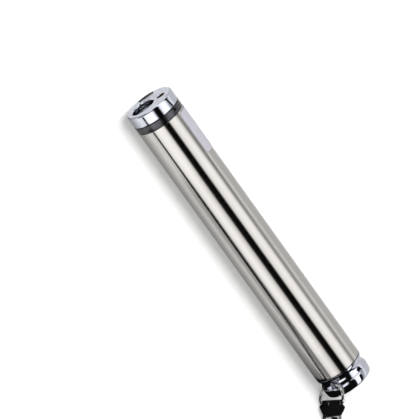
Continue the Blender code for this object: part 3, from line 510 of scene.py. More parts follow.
def sheet_material(name, stops, tail_stops):
    """A glowing sheet with painted shade that greys it near the torch; it can turn darker towards
    the tail.
    """
    made, tree, place = start_material(name, Base_Color=(0, 0, 0, 1), Specular_IOR_Level=0.0,
                                       Emission_Strength=1.0)
    split = add_node(tree, "SeparateXYZ", Vector=place)
    size = add_node(tree, "Math", {"operation": "ABSOLUTE"}, Value=split.outputs["Y"])
    share = add_node(tree, "MapRange", Value=size, From_Max=SHEET_END)
    ramp = add_node(tree, "ValToRGB", feeds="Emission Color", Fac=share).color_ramp
    fill_ramp(ramp, stops, SHEET_END / MM)
    if tail_stops:
        slant = add_node(tree, "Math", {"operation": "MULTIPLY_ADD"}, Value=split.outputs["Y"],
                         Value_001=SHEET_SLANT, Value_002=split.outputs["X"])
        way = add_node(tree, "MapRange", Value=slant, From_Max=SHEET_END)
        fade = add_node(tree, "ValToRGB", feeds="Emission Strength", Fac=way).color_ramp
        fill_ramp(fade, tail_stops, SHEET_END / MM)
    return made


def grey_sheet(name, side, stops, tail_stops=()):
    """A flat sheet on the table on one side of the torch, with painted shade near it; side is 1
    for the left.
    """
    select_only()
    middle = side * (SHEET_START + SHEET_END) / 2
    bpy.ops.mesh.primitive_plane_add(size=1, location=(0, middle, floor_height + SHEET_LIFT))
    sheet = bpy.context.object
    sheet.name = name
    sheet.scale = (SHEET_LENGTH, SHEET_END - SHEET_START, 1)
    bpy.ops.object.transform_apply(location=True, rotation=True, scale=True)
    sheet.data.materials.append(sheet_material(name, stops, tail_stops))
    hide_from_all_but_mirrors(sheet)
    return sheet


sheets = [grey_sheet("sheet_left", 1, LEFT_SHEET, LEFT_FADE),
          grey_sheet("sheet_right", -1, RIGHT_SHEET)]
print("sheets:", len(sheets))

# %% [markdown]
# Two small black cards, again for mirror rays alone, darken what the ends mirror, as the
# sheets do for the sides. One stands beside the tail cap. The other lies under the far edge
# of the lamps' face as painted shade, the shade on the paper under the head, and the face
# mirrors it as a thin line.

# %% Stand up the small black cards
# The middle and the size of each, in millimetres
STAND_MIDDLE = (-0.9, 12, -0.25)
STAND_SIZE = (10.2, 13.5)
# The foot card is painted shade: it stands for the shade on the paper under the head's face
FOOT_MIDDLE = (97.75, -0.3, -6.9)
FOOT_SIZE = (1.0, 4.6)


def dark_strip(name, middle, size, turn):
    """A small black card in mirrors alone, tilted about the torch's length by turn."""
    select_only()
    bpy.ops.mesh.primitive_plane_add(
        size=1, location=[part * MM for part in middle], rotation=(turn, 0, 0))
    strip = bpy.context.object
    strip.name = name
    strip.scale = (size[0] * MM, size[1] * MM, 1)
    bpy.ops.object.transform_apply(location=True, rotation=True, scale=True)
    strip.data.materials.append(velvet)
    hide_from_all_but_mirrors(strip)
    return strip


small_cards = [dark_strip("dark_stand", STAND_MIDDLE, STAND_SIZE, math.pi / 2),
               dark_strip("dark_foot", FOOT_MIDDLE, FOOT_SIZE, 0.0)]
print("small cards:", len(small_cards))

# %% [markdown]
# Most pieces of a torch are turned on a lathe. In Blender that is an outline spun about the
# axis: we extrude a point along the outline, as a pencil would go, and spin the line.
# Real turned corners are never quite sharp, so each corner carries its own small rounding,
# and that rounding is what catches the light as a thin bright edge.

# %% Round the corners of an outline
ROUNDING_STEPS = 4
GUARD = 0.06 * MM
# The longest part of an edge that the rounding at one of its ends may take
EDGE_SHARE = 0.49


def rounded(corners):
    """An outline of (along, radius, rounding) corners with each corner eased into a curve.

    A guard point just beyond each end of a curve keeps the straight part next to it flat,
    so that a long mirror such as the tube shows a straight reflection.
    """
    points = []
    count = len(corners)
    for number, (x, r, rounding) in enumerate(corners):
        here = Vector((x, r))
        before = Vector(corners[number - 1][:2]) - here
        after = Vector(corners[(number + 1) % count][:2]) - here
        reach = min(rounding, before.length * EDGE_SHARE, after.length * EDGE_SHARE)
        if reach <= 0:
            points.append(here)
            continue
        if before.length > 2 * (reach + GUARD):
            points.append(here + before.normalized() * (reach + GUARD))
        start = here + before.normalized() * reach
        end = here + after.normalized() * reach
        for step in range(ROUNDING_STEPS + 1):
            t = step / ROUNDING_STEPS
            points.append((1 - t) ** 2 * start + 2 * t * (1 - t) * here + t ** 2 * end)
        if after.length > 2 * (reach + GUARD):
            points.append(here + after.normalized() * (reach + GUARD))
    return points


print("points on one rounded corner:", len(rounded([(0, 0, 0), (1, 0, 0.1), (1, 1, 0)])) - 2)

# %% [markdown]
# The spin needs an edge loop, so we start from a point, extrude it from corner to corner and
# turn the closed line once round the axis. Its first and last copies are then merged.

# %% Spin an outline
SHELL_STEPS = 128
LAMP_STEPS = 72
SMOOTH_ANGLE = math.radians(35)
MERGE_REACH = 0.004 * MM


def draw_outline(name, outline, side=0.0, height=0.0):
    """Draw a closed outline edge by edge and stay in edit mode with the line."""
    select_only()
    first = outline[0]
    bpy.ops.mesh.primitive_plane_add(size=MM, location=(first.x, side, height + first.y))
    made = bpy.context.object
    made.name = name
    bpy.ops.object.transform_apply(location=True, rotation=True, scale=True)
    bpy.ops.object.mode_set(mode="EDIT")
    bpy.ops.mesh.select_mode(type="VERT")
    bpy.ops.mesh.merge(type="CENTER")
    for here, there in zip(outline, outline[1:] + outline[:1]):
        step = (there.x - here.x, 0, there.y - here.y)
        bpy.ops.mesh.extrude_region_move(TRANSFORM_OT_translate={"value": step})
    bpy.ops.mesh.select_all(action="SELECT")
    return made


def turned(name, corners, side=0.0, height=0.0, steps=SHELL_STEPS):
    """Spin an outline of corners about a line along the torch."""
    made = draw_outline(name, rounded(corners), side, height)
    bpy.ops.mesh.spin(steps=steps, angle=2 * math.pi, center=(0, side, height), axis=(1, 0, 0))
    bpy.ops.mesh.select_all(action="SELECT")
    bpy.ops.mesh.remove_doubles(threshold=MERGE_REACH)
    bpy.ops.mesh.normals_make_consistent(inside=False)
    bpy.ops.object.mode_set(mode="OBJECT")
    bpy.ops.object.shade_smooth_by_angle(angle=SMOOTH_ANGLE)
    print(name, len(made.data.vertices), "points")
    return made


print("a full turn has", SHELL_STEPS, "steps")

# %% [markdown]
# Every finished piece gets its material and says which moving body it rides on. Modifiers
# are applied as soon as they are set, so that each piece is plain mesh in the end.

# %% Dress and cut pieces
def dress(piece, body, slot, material, *nodes):
    """Give a piece its material and the body it rides on, and hide the parts it stands for."""
    piece.data.materials.clear()
    piece.data.materials.append(material)
    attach(piece, body)
    if nodes:
        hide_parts(*nodes)
    return piece


def apply_modifier(piece, kind, **settings):
    """Give a piece a modifier with its settings and apply it at once."""
    step = piece.modifiers.new(kind.lower(), kind)
    for key, value in settings.items():
        setattr(step, key, value)
    bpy.ops.object.modifier_apply(modifier=step.name)


def subtract(piece, cutter):
    """Cut a shape out of a piece for good and remove the cutter."""
    select_only(piece)
    apply_modifier(piece, "BOOLEAN", operation="DIFFERENCE", object=cutter)
    bpy.data.objects.remove(cutter, do_unlink=True)
    bpy.ops.object.shade_smooth_by_angle(angle=SMOOTH_ANGLE)


print("nodes to dress:", len(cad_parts))

# %% [markdown]
# The metals come next. The tube is drawn stainless steel, polished: only half of the light
# comes back from it, and its fine polishing marks run around it and soften what it mirrors.

# %% Polished stainless steel
def polished_stainless():
    """Drawn and polished stainless: a soft, slightly warm mirror with marks around the tube."""
    made, tree, place = start_material("polished_stainless_steel", Metallic=1.0)
    around = add_node(tree, "Mapping", Vector=place, Scale=(1, 0.03, 0.03))
    rings = add_node(tree, "TexNoise", Vector=around, Scale=per_mm(0.35), Detail=3.0)
    clouds = add_node(tree, "TexNoise", Vector=place, Scale=per_mm(9.0), Detail=2.0)
    add_node(tree, "Mix", {"data_type": "RGBA"}, feeds="Base Color", Factor_Float=clouds,
             A_Color=colour("BBB8B4"), B_Color=colour("C1BEBB"))
    add_node(tree, "MapRange", feeds="Roughness", Value=rings, From_Min=0.3, From_Max=0.7,
             To_Min=0.07, To_Max=0.11)
    add_node(tree, "Bump", feeds="Normal", Height=rings, Distance=0.0006 * MM)
    return made


steel = polished_stainless()
print(steel.name, len(steel.node_tree.nodes), "nodes")

# %% [markdown]
# The head and the tail cap are chrome plated. Chrome is bluer than steel and nearly a
# perfect mirror. Its life comes from the faint unevenness of the metal under the plating.

# %% Chrome plating
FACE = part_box("head_cap")[1][0]
LAPPED_FROM = FACE - 0.04 * MM
LAPPED_BLEND = 0.02 * MM


def chrome_plating():
    """Bright chrome over brass: cool and mirror-like. The head's face is lapped, duller."""
    made, tree, place = start_material("chrome_plating", Metallic=1.0)
    along = add_node(tree, "SeparateXYZ", Vector=place)
    face = add_node(tree, "MapRange", Value=along.outputs["X"], From_Min=LAPPED_FROM,
                    From_Max=LAPPED_FROM + LAPPED_BLEND)
    wear = add_node(tree, "TexNoise", Vector=place, Scale=per_mm(1.6), Detail=5.0, Roughness=0.6)
    plated = add_node(tree, "Mix", {"data_type": "RGBA"}, Factor_Float=wear,
                      A_Color=colour("C3C6D2"), B_Color=colour("D3D6DF"))
    pores = add_node(tree, "TexNoise", Vector=place, Scale=per_mm(0.7), Detail=4.0, Roughness=0.7)
    spread = add_node(tree, "MapRange", Value=pores, From_Min=0.35, From_Max=0.65)
    lapped = add_node(tree, "Mix", {"data_type": "RGBA"}, Factor_Float=spread,
                      A_Color=colour("9C9FAB"), B_Color=colour("BEC1CB"))
    add_node(tree, "Mix", {"data_type": "RGBA"}, feeds="Base Color", Factor_Float=face,
             A_Color=plated.outputs["Result"], B_Color=lapped.outputs["Result"])
    shine = add_node(tree, "MapRange", Value=wear, From_Min=0.35, From_Max=0.65, To_Min=0.035,
                     To_Max=0.08)
    add_node(tree, "Math", {"operation": "MULTIPLY_ADD"}, feeds="Roughness", Value=face,
             Value_001=0.14, Value_002=shine)
    swell = add_node(tree, "TexNoise", Vector=place, Scale=per_mm(3.0), Detail=2.0)
    add_node(tree, "Bump", feeds="Normal", Height=swell, Distance=0.012 * MM)
    return made


chrome = chrome_plating()
print(chrome.name, len(chrome.node_tree.nodes), "nodes")

# %% [markdown]
# The knurled ring is blackened steel, the wire is drawn spring steel, and the laser's
# barrel is plain turned brass. All three mirror the same room, darker, greyer and yellower.

# %% Blackened steel, drawn wire and brass
def blackened_steel():
    """Chemically blackened steel: a dark but still clear mirror, patchy in its tint."""
    made, tree, place = start_material("blackened_steel", Metallic=1.0)
    patches = add_node(tree, "TexNoise", Vector=place, Scale=per_mm(1.1), Detail=4.0)
    add_node(tree, "Mix", {"data_type": "RGBA"}, feeds="Base Color", Factor_Float=patches,
             A_Color=colour("3E3D40"), B_Color=colour("5F5E62"))
    add_node(tree, "MapRange", feeds="Roughness", Value=patches, From_Min=0.3, From_Max=0.7,
             To_Min=0.02, To_Max=0.05)
    grain = add_node(tree, "TexNoise", Vector=place, Scale=per_mm(0.2), Detail=3.0)
    add_node(tree, "Bump", feeds="Normal", Height=grain, Distance=0.001 * MM)
    return made


def drawn_spring_steel():
    """Bright spring wire, drawn through a die, which leaves short fine lines."""
    made, tree, place = start_material("drawn_spring_steel", Metallic=1.0)
    lines = add_node(tree, "TexNoise", Vector=place, Scale=per_mm(0.3), Detail=3.0)
    add_node(tree, "Mix", {"data_type": "RGBA"}, feeds="Base Color", Factor_Float=lines,
             A_Color=colour("BEBDBC"), B_Color=colour("D0CFCE"))
    add_node(tree, "MapRange", feeds="Roughness", Value=lines, From_Min=0.3, From_Max=0.7,
             To_Min=0.10, To_Max=0.2)
    add_node(tree, "Bump", feeds="Normal", Height=lines, Distance=0.001 * MM)
    return made


def turned_brass():
    """Brass as it leaves the lathe: fine rings and a deep yellow."""
    made, tree, place = start_material("turned_brass", Metallic=1.0)
    around = add_node(tree, "Mapping", Vector=place, Scale=(1, 0.04, 0.04))
    rings = add_node(tree, "TexNoise", Vector=around, Scale=per_mm(0.12), Detail=3.0)
    add_node(tree, "Mix", {"data_type": "RGBA"}, feeds="Base Color", Factor_Float=rings,
             A_Color=colour("B98F45"), B_Color=colour("D2A95C"))
    add_node(tree, "MapRange", feeds="Roughness", Value=rings, From_Min=0.3, From_Max=0.7,
             To_Min=0.2, To_Max=0.34)
    add_node(tree, "Bump", feeds="Normal", Height=rings, Distance=0.003 * MM)
    return made


black_steel = blackened_steel()
wire_steel = drawn_spring_steel()
brass = turned_brass()
print("metals:", black_steel.name, wire_steel.name, brass.name)

# %% [markdown]
# The tube is a plain length of drawn steel. All its charm is in the long reflections, so
# the mesh must be even and finely divided round about, with no bump that would bend them.

# %% Turn the tube
tube_low, tube_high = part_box("tube")
TUBE_RADIUS = 7.0 * MM
TUBE_BORE = 6.45 * MM
TUBE_EDGE = 0.12 * MM
tube = turned("tube_shell", [
    (tube_low[0], TUBE_BORE, TUBE_EDGE), (tube_low[0], TUBE_RADIUS, TUBE_EDGE),
    (tube_high[0], TUBE_RADIUS, TUBE_EDGE), (tube_high[0], TUBE_BORE, TUBE_EDGE)])
dress(tube, "tube", "steel", steel, "tube")

# %% [markdown]
# The head cap is a thick disc with a thin sleeve behind it. The two windows in its face are
# bored and lightly countersunk. A boring tool is itself a turned shape, so we turn one for
# each window and subtract it with a Boolean, which also leaves the countersink.

# %% Turn the head cap and bore its windows
SHOULDER = FACE - 3.3 * MM
SLEEVE_RADIUS = 6.2 * MM
SLEEVE_BORE = 5.75 * MM
SLEEVE_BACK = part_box("head_cap")[0][0]
INNER_FACE = FACE - 1.2 * MM
FACE_EDGE = 0.55 * MM
LED_SIDE = 2.0 * MM
LED_HEIGHT = 0.35 * MM
LASER_SIDE = -3.7 * MM
LASER_HEIGHT = 0.9 * MM
LED_WINDOW = 3.4 * MM
LASER_WINDOW = 1.25 * MM
COUNTERSINK = 0.22 * MM
OVERRUN = 0.5 * MM
BORE_STEPS = 96


def boring_tool(radius, side, height):
    """The shape of a countersinking bore through the face."""
    return turned("boring_tool", [
        (INNER_FACE - OVERRUN, 0, 0), (INNER_FACE - OVERRUN, radius, 0),
        (FACE - COUNTERSINK, radius, 0.08 * MM),
        (FACE + OVERRUN, radius + COUNTERSINK + OVERRUN, 0), (FACE + OVERRUN, 0, 0)],
        side, height, BORE_STEPS)


head = turned("head_shell", [
    (FACE, 0, 0), (FACE, TUBE_RADIUS, FACE_EDGE), (SHOULDER, TUBE_RADIUS, 0.15 * MM),
    (SHOULDER, SLEEVE_RADIUS, 0), (SLEEVE_BACK, SLEEVE_RADIUS, 0.1 * MM),
    (SLEEVE_BACK, SLEEVE_BORE, 0.1 * MM), (INNER_FACE, SLEEVE_BORE, 0), (INNER_FACE, 0, 0)])
subtract(head, boring_tool(LED_WINDOW, LED_SIDE, LED_HEIGHT))
subtract(head, boring_tool(LASER_WINDOW, LASER_SIDE, LASER_HEIGHT))
dress(head, "head", "chrome", chrome, "head_cap")

# %% [markdown]
# The ring behind the head is straight-knurled for grip. Each tooth is one face of a ring,
# inset and lifted a little, which leaves a groove between neighbours and sloping ends. The
# teeth are shallow and nearly flat, so the ring still mirrors the room almost unbroken.

# %% Knurl the ring
ring_low, ring_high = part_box("knurled_ring")
KNURL_TEETH = 72
KNURL_DEPTH = 0.03 * MM
KNURL_GROOVE = 0.02 * MM
KNURL_EDGE = 0.006 * MM
RING_WALL = 0.6 * MM


def knurled_ring():
    """A ring with a raised tooth on every outer face."""
    select_only()
    width = ring_high[0] - ring_low[0]
    bpy.ops.mesh.primitive_cylinder_add(
        vertices=KNURL_TEETH, radius=TUBE_RADIUS - KNURL_DEPTH, depth=width,
        end_fill_type="NOTHING", location=((ring_low[0] + ring_high[0]) / 2, 0, 0),
        rotation=(0, math.pi / 2, 0))
    ring = bpy.context.object
    ring.name = "knurled_ring_fine"
    bpy.ops.object.transform_apply(location=True, rotation=True, scale=True)
    bpy.ops.object.mode_set(mode="EDIT")
    bpy.ops.mesh.select_all(action="SELECT")
    bpy.ops.mesh.inset(thickness=KNURL_GROOVE, depth=KNURL_DEPTH, use_individual=True)
    bpy.ops.object.mode_set(mode="OBJECT")
    apply_modifier(ring, "SOLIDIFY", thickness=RING_WALL - KNURL_DEPTH, offset=-1)
    apply_modifier(ring, "BEVEL", width=KNURL_EDGE, segments=2)
    bpy.ops.object.shade_smooth_by_angle(angle=math.radians(30))
    print("ring:", len(ring.data.polygons), "faces")
    return ring


dress(knurled_ring(), "head", "black_steel", black_steel, "knurled_ring")

# %% [markdown]
# Behind the large window sits a common 5 mm LED in a bright reflector. The lamp's body is
# clear epoxy, cast round two metal parts: a post, and an anvil whose dish holds the chip
# under a drop of yellow phosphor. Clear things look like what is behind them, so these
# inner parts matter more than the body.

# %% Epoxy, phosphor and silver
def clear_epoxy():
    """Cast optical epoxy: clear with a slight milkiness, and a little cool in its depth."""
    made, tree, place = start_material("clear_epoxy", Transmission_Weight=0.9, IOR=1.53)
    depth = add_node(tree, "TexNoise", Vector=place, Scale=per_mm(2.0), Detail=2.0)
    add_node(tree, "Mix", {"data_type": "RGBA"}, feeds="Base Color", Factor_Float=depth,
             A_Color=colour("E4EAEE"), B_Color=colour("F4F7F9"))
    add_node(tree, "MapRange", feeds="Roughness", Value=depth, To_Min=0.01, To_Max=0.04)
    return made


def cured_phosphor():
    """Phosphor in silicone: a dull, grainy yellow."""
    made, tree, place = start_material("cured_phosphor")
    grains = add_node(tree, "TexNoise", Vector=place, Scale=per_mm(0.1), Detail=4.0)
    add_node(tree, "Mix", {"data_type": "RGBA"}, feeds="Base Color", Factor_Float=grains,
             A_Color=colour("C9A818"), B_Color=colour("E6CF4A"))
    add_node(tree, "MapRange", feeds="Roughness", Value=grains, To_Min=0.4, To_Max=0.65)
    add_node(tree, "Bump", feeds="Normal", Height=grains, Distance=0.01 * MM)
    return made


def silver_plate():
    """Silver-plated lead frame: white metal, softly matt from the bath."""
    made, tree, place = start_material("silver_plate", Metallic=1.0)
    bath = add_node(tree, "TexNoise", Vector=place, Scale=per_mm(0.25), Detail=4.0)
    add_node(tree, "Mix", {"data_type": "RGBA"}, feeds="Base Color", Factor_Float=bath,
             A_Color=colour("B9B9B6"), B_Color=colour("DADAD8"))
    add_node(tree, "MapRange", feeds="Roughness", Value=bath, To_Min=0.18, To_Max=0.35)
    add_node(tree, "Bump", feeds="Normal", Height=bath, Distance=0.002 * MM)
    return made


def evaporated_aluminium():
    """Aluminium evaporated into a moulded cup: the brightest mirror of them all."""
    made, tree, place = start_material("evaporated_aluminium", Metallic=1.0)
    haze = add_node(tree, "TexNoise", Vector=place, Scale=per_mm(0.8), Detail=3.0)
    add_node(tree, "Mix", {"data_type": "RGBA"}, feeds="Base Color", Factor_Float=haze,
             A_Color=colour("9FA3AB"), B_Color=colour("C9CDD4"))
    add_node(tree, "MapRange", feeds="Roughness", Value=haze, To_Min=0.05, To_Max=0.14)
    add_node(tree, "Bump", feeds="Normal", Height=haze, Distance=0.004 * MM)
    return made


epoxy = clear_epoxy()
phosphor = cured_phosphor()
silver = silver_plate()
mirror_coat = evaporated_aluminium()
print("lamp finishes:", epoxy.name, phosphor.name, silver.name, mirror_coat.name)

# %% [markdown]
# The lamp's body is turned like the shells. Its tip is a half ball, because that round tip
# is the lens that throws the light forwards.

# %% Cast the LED's body
LED_RADIUS = 2.5 * MM
LED_RIM = 2.88 * MM
LED_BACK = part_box("led_lamp")[0][0]
LED_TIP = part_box("led_lamp")[1][0]
RIM_FRONT = LED_BACK + 1.0 * MM
DOME_STEPS = 14


def dome(tip, radius):
    """Outline corners of a half ball whose tip points to the head's face."""
    corners = []
    for step in range(DOME_STEPS + 1):
        turn = math.pi / 2 * step / DOME_STEPS
        corners.append((tip - radius + radius * math.sin(turn), radius * math.cos(turn), 0))
    return corners


def led_body():
    """The clear cast body: a rim, a straight part and a round tip."""
    return turned("led_body", [
        (LED_BACK, 0, 0), (LED_BACK, LED_RIM, 0.1 * MM), (RIM_FRONT, LED_RIM, 0.15 * MM),
        (RIM_FRONT, LED_RADIUS, 0.05 * MM), *dome(LED_TIP, LED_RADIUS)],
        LED_SIDE, LED_HEIGHT, LAMP_STEPS)


dress(led_body(), "head", "clear_resin", epoxy, "led_lamp")

# %% [markdown]
# The anvil with its dish is turned as well, and a drop of phosphor fills the dish. The post
# is a thin plate: a small block whose front face is extruded three times and widened on the
# way, so that it leans towards the anvil.

# %% Shape the LED's metal parts
METAL_START = LED_BACK + 1.4 * MM
ANVIL_TOP = LED_BACK + 4.6 * MM
ANVIL_HEIGHT = LED_HEIGHT - 0.5 * MM
POST_HEIGHT = LED_HEIGHT + 1.25 * MM
DISH_DEPTH = 0.45 * MM
SMALL_STEPS = 32
# Each step of the post: how far it is extruded, and how much wider it gets there
POST_STEPS = ((1.5 * MM, 1.0), (0.8 * MM, 1.5), (0.9 * MM, 0.8))


def led_anvil():
    """The wide leg's head inside the lamp, with a dish for the chip."""
    return turned("led_anvil", [
        (METAL_START, 0, 0), (METAL_START, 0.45 * MM, 0.05 * MM),
        (METAL_START + 1.6 * MM, 0.55 * MM, 0.1 * MM),
        (METAL_START + 2.2 * MM, 1.0 * MM, 0.1 * MM), (ANVIL_TOP, 1.05 * MM, 0.05 * MM),
        (ANVIL_TOP, 0.8 * MM, 0.05 * MM), (ANVIL_TOP - DISH_DEPTH, 0.4 * MM, 0.05 * MM),
        (ANVIL_TOP - DISH_DEPTH, 0, 0)], LED_SIDE, ANVIL_HEIGHT, SMALL_STEPS)


def led_drop():
    """The phosphor drop over the chip in the anvil's dish."""
    top = ANVIL_TOP + 0.02 * MM
    return turned("led_phosphor", [
        (top - 0.4 * MM, 0, 0), (top - 0.4 * MM, 0.36 * MM, 0),
        (top - 0.02 * MM, 0.7 * MM, 0.1 * MM), (top + 0.2 * MM, 0.45 * MM, 0.2 * MM),
        (top + 0.25 * MM, 0, 0)], LED_SIDE, ANVIL_HEIGHT, SMALL_STEPS)


def led_post():
    """The narrow leg's head: a thin plate that leans towards the anvil."""
    select_only()
    bpy.ops.mesh.primitive_cube_add(size=1, location=(METAL_START, LED_SIDE, POST_HEIGHT),
                                    scale=(0.2 * MM, 0.5 * MM, 0.45 * MM))
    post = bpy.context.object
    post.name = "led_post"
    bpy.ops.object.transform_apply(location=True, rotation=True, scale=True)
    front = max(corner.co.x for corner in post.data.vertices)
    for face in post.data.polygons:
        face.select = face.normal.x > 0.9
    bpy.ops.object.mode_set(mode="EDIT")
    bpy.ops.mesh.select_mode(type="FACE")
    for step, widening in POST_STEPS:
        bpy.ops.mesh.extrude_region_move(TRANSFORM_OT_translate={"value": (step, 0, 0)})
        front += step
        bpy.ops.transform.resize(value=(1, widening, 1),
                                 center_override=(front, LED_SIDE, POST_HEIGHT))
    bpy.ops.object.mode_set(mode="OBJECT")
    apply_modifier(post, "BEVEL", width=0.05 * MM, segments=2)
    bpy.ops.object.shade_smooth_by_angle(angle=SMOOTH_ANGLE)
    return post


dress(led_anvil(), "head", "spring_steel", silver)
dress(led_drop(), "head", "label", phosphor)
dress(led_post(), "head", "spring_steel", silver)

# %% [markdown]
# The lamp stands in a thin bright cup that throws its side light forwards. Its wall flares
# like a trumpet, slowly at first, so the outline's radius grows with a power of the way.

# %% Shape the reflector
CUP_STEPS = 10
CUP_WALL = 0.1 * MM
CUP_GAP = 0.05 * MM
CUP_FLARE = 0.54 * MM
FLARE_POWER = 1.6


def reflector():
    """A thin cup that flares towards the head's face."""
    back, front = (corner[0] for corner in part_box("led_reflector"))
    inner = []
    for step in range(CUP_STEPS + 1):
        share = step / CUP_STEPS
        radius = LED_RADIUS + CUP_GAP + CUP_FLARE * share ** FLARE_POWER
        inner.append((back + (front - back) * share, radius, 0))
    outer = [(x, r + CUP_WALL, rounding) for x, r, rounding in reversed(inner)]
    return turned("reflector_cup", inner + outer, LED_SIDE, LED_HEIGHT, LAMP_STEPS)


dress(reflector(), "head", "chrome", mirror_coat, "led_reflector")

# %% [markdown]
# Behind the small window sits the laser: a brass barrel with a lens, held by a threaded
# ring that has two slots for the spanner that sets the focus.

# %% Make the laser's front
BARREL_RADIUS = 1.88 * MM
BARREL_BORE = 1.42 * MM
LENS_RADIUS = 1.3 * MM
LENS_EDGE = 0.6 * MM
LENS_STEPS = 48
CURVE_STEPS = 8
RING_BORE = 0.8 * MM
SPANNER_SLOT = (0.5 * MM, 3.2 * MM, 0.28 * MM)


def polished_glass():
    """Pressed and polished glass with a faint purple coating, as on small lenses."""
    made, tree, place = start_material("coated_optical_glass", Transmission_Weight=1.0, IOR=1.51,
                                       Roughness=0.0, Coat_Weight=0.3, Coat_Roughness=0.02)
    film = add_node(tree, "TexNoise", Vector=place, Scale=per_mm(1.5), Detail=1.0)
    add_node(tree, "Mix", {"data_type": "RGBA"}, feeds="Base Color", Factor_Float=film,
             A_Color=colour("DAD2F0"), B_Color=colour("EEEAF8"))
    return made


def laser_barrel():
    """The brass barrel: a plain pipe with a chamfered mouth."""
    back, front = (corner[0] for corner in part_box("laser_barrel"))
    return turned("laser_barrel_fine", [
        (back, BARREL_BORE, 0.05 * MM), (back, BARREL_RADIUS, 0.12 * MM),
        (front, BARREL_RADIUS, 0.12 * MM), (front, BARREL_BORE, 0.08 * MM)],
        LASER_SIDE, LASER_HEIGHT, LAMP_STEPS)


def laser_lens():
    """A small lens, flat behind and curved in front."""
    back, front = (corner[0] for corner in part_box("laser_lens"))
    edge = back + LENS_EDGE
    sag = front - edge
    curve = []
    for step in range(1, CURVE_STEPS + 1):
        radius = LENS_RADIUS * math.cos(math.pi / 2 * step / CURVE_STEPS)
        curve.append((front - sag * (radius / LENS_RADIUS) ** 2, radius, 0))
    return turned("laser_lens_fine", [
        (back, 0, 0), (back, LENS_RADIUS, 0.05 * MM), (edge, LENS_RADIUS, 0), *curve],
        LASER_SIDE, LASER_HEIGHT, LENS_STEPS)


def lens_ring():
    """The threaded ring over the lens, with a spanner slot on each side."""
    back, front = (corner[0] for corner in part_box("lens_ring"))
    ring = turned("lens_ring_fine", [
        (back, RING_BORE, 0.05 * MM), (back, LENS_RADIUS, 0.05 * MM),
        (front, LENS_RADIUS, 0.05 * MM), (front, RING_BORE, 0.15 * MM)],
        LASER_SIDE, LASER_HEIGHT, LENS_STEPS)
    select_only()
    bpy.ops.mesh.primitive_cube_add(size=1, location=(front, LASER_SIDE, LASER_HEIGHT),
                                    scale=SPANNER_SLOT)
    subtract(ring, bpy.context.object)
    return ring


glass = polished_glass()
dress(laser_barrel(), "head", "brass", brass, "laser_barrel")
dress(laser_lens(), "head", "lens_glass", glass, "laser_lens")
dress(lens_ring(), "head", "brass", brass, "lens_ring")

# %% [markdown]
# The tail cap has a flange with a barely domed side, a fine groove, a hollow neck and a
# land that meets the tube. Behind the land is the spigot with its groove for the seal and
# its screw thread. The dome and the hollow are what cut the reflections into short bars, so
# their radii matter more than their size. A vertical hole near the rim takes the bail.

# %% Turn the tail cap
SPIGOT_RADIUS = 6.2 * MM
SPIGOT_BORE = 5.2 * MM
SPIGOT_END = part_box("tail_cap")[1][0]
SEAM = 5.8 * MM
SEAT = 6.6 * MM
FLAT_RADIUS = 4.2 * MM
GROOVE_START = 7.6 * MM
GROOVE_END = 8.6 * MM
GROOVE_RADIUS = 5.6 * MM
HOLE = Vector((3.7, 3.5, 0)) * MM
HOLE_RADIUS = 1.2 * MM
HOLE_STEPS = 64
DRILL_LENGTH = 20 * MM
# Millimetres from the end face and the radius there, first along the side, then the neck
CROWN = ((0.06, 6.72), (0.22, 6.86), (0.6, 6.93), (1.1, 6.98), (1.6, 7.015), (2.0, 7.035),
         (2.35, 7.04), (2.55, 7.03), (2.62, 6.98))
NECK_EDGE = (2.7 * MM, 6.86 * MM, 0.03 * MM)
NECK = ((2.86, 6.93), (3.05, 6.84), (3.3, 6.71), (3.6, 6.57), (3.9, 6.49), (4.1, 6.46),
        (4.3, 6.48), (4.55, 6.56), (4.8, 6.68), (5.0, 6.8), (5.2, 6.9), (5.3, 6.94))

cap = turned("tail_cap_shell", [
    (0, 0, 0), (0, FLAT_RADIUS, 0.5 * MM), *[(x * MM, r * MM, 0) for x, r in CROWN],
    NECK_EDGE, *[(x * MM, r * MM, 0) for x, r in NECK],
    (SEAM, 6.99 * MM, 0.04 * MM), (SEAM, SPIGOT_RADIUS, 0),
    (GROOVE_START, SPIGOT_RADIUS, 0.05 * MM), (GROOVE_START, GROOVE_RADIUS, 0.1 * MM),
    (GROOVE_END, GROOVE_RADIUS, 0.1 * MM), (GROOVE_END, SPIGOT_RADIUS, 0.05 * MM),
    (SPIGOT_END, SPIGOT_RADIUS, 0.2 * MM), (SPIGOT_END, SPIGOT_BORE, 0.1 * MM),
    (SEAT, SPIGOT_BORE, 0), (SEAT, 0, 0)])
select_only()
bpy.ops.mesh.primitive_cylinder_add(vertices=HOLE_STEPS, radius=HOLE_RADIUS,
                                    depth=DRILL_LENGTH, location=HOLE)
subtract(cap, bpy.context.object)
dress(cap, "tail_cap", "chrome", chrome, "tail_cap")

# %% [markdown]
# The thread is one ridge wound round the spigot at 1 mm a turn. The Screw modifier does
# just that with a small outline, and it shows when the cap is screwed out.

# %% Cut the thread
THREAD_START = 9.1 * MM
THREAD_PITCH = 1.0 * MM
THREAD_TURNS = 3
THREAD_STEPS = 64
THREAD_CREST = 6.4 * MM
THREAD_FOOT = SPIGOT_RADIUS - 0.05 * MM
# How far along the flank rises, the crest ends and the other flank meets the spigot
THREAD_FLANKS = (0.28 * MM, 0.38 * MM, 0.66 * MM)
FINE_MERGE_REACH = 0.002 * MM


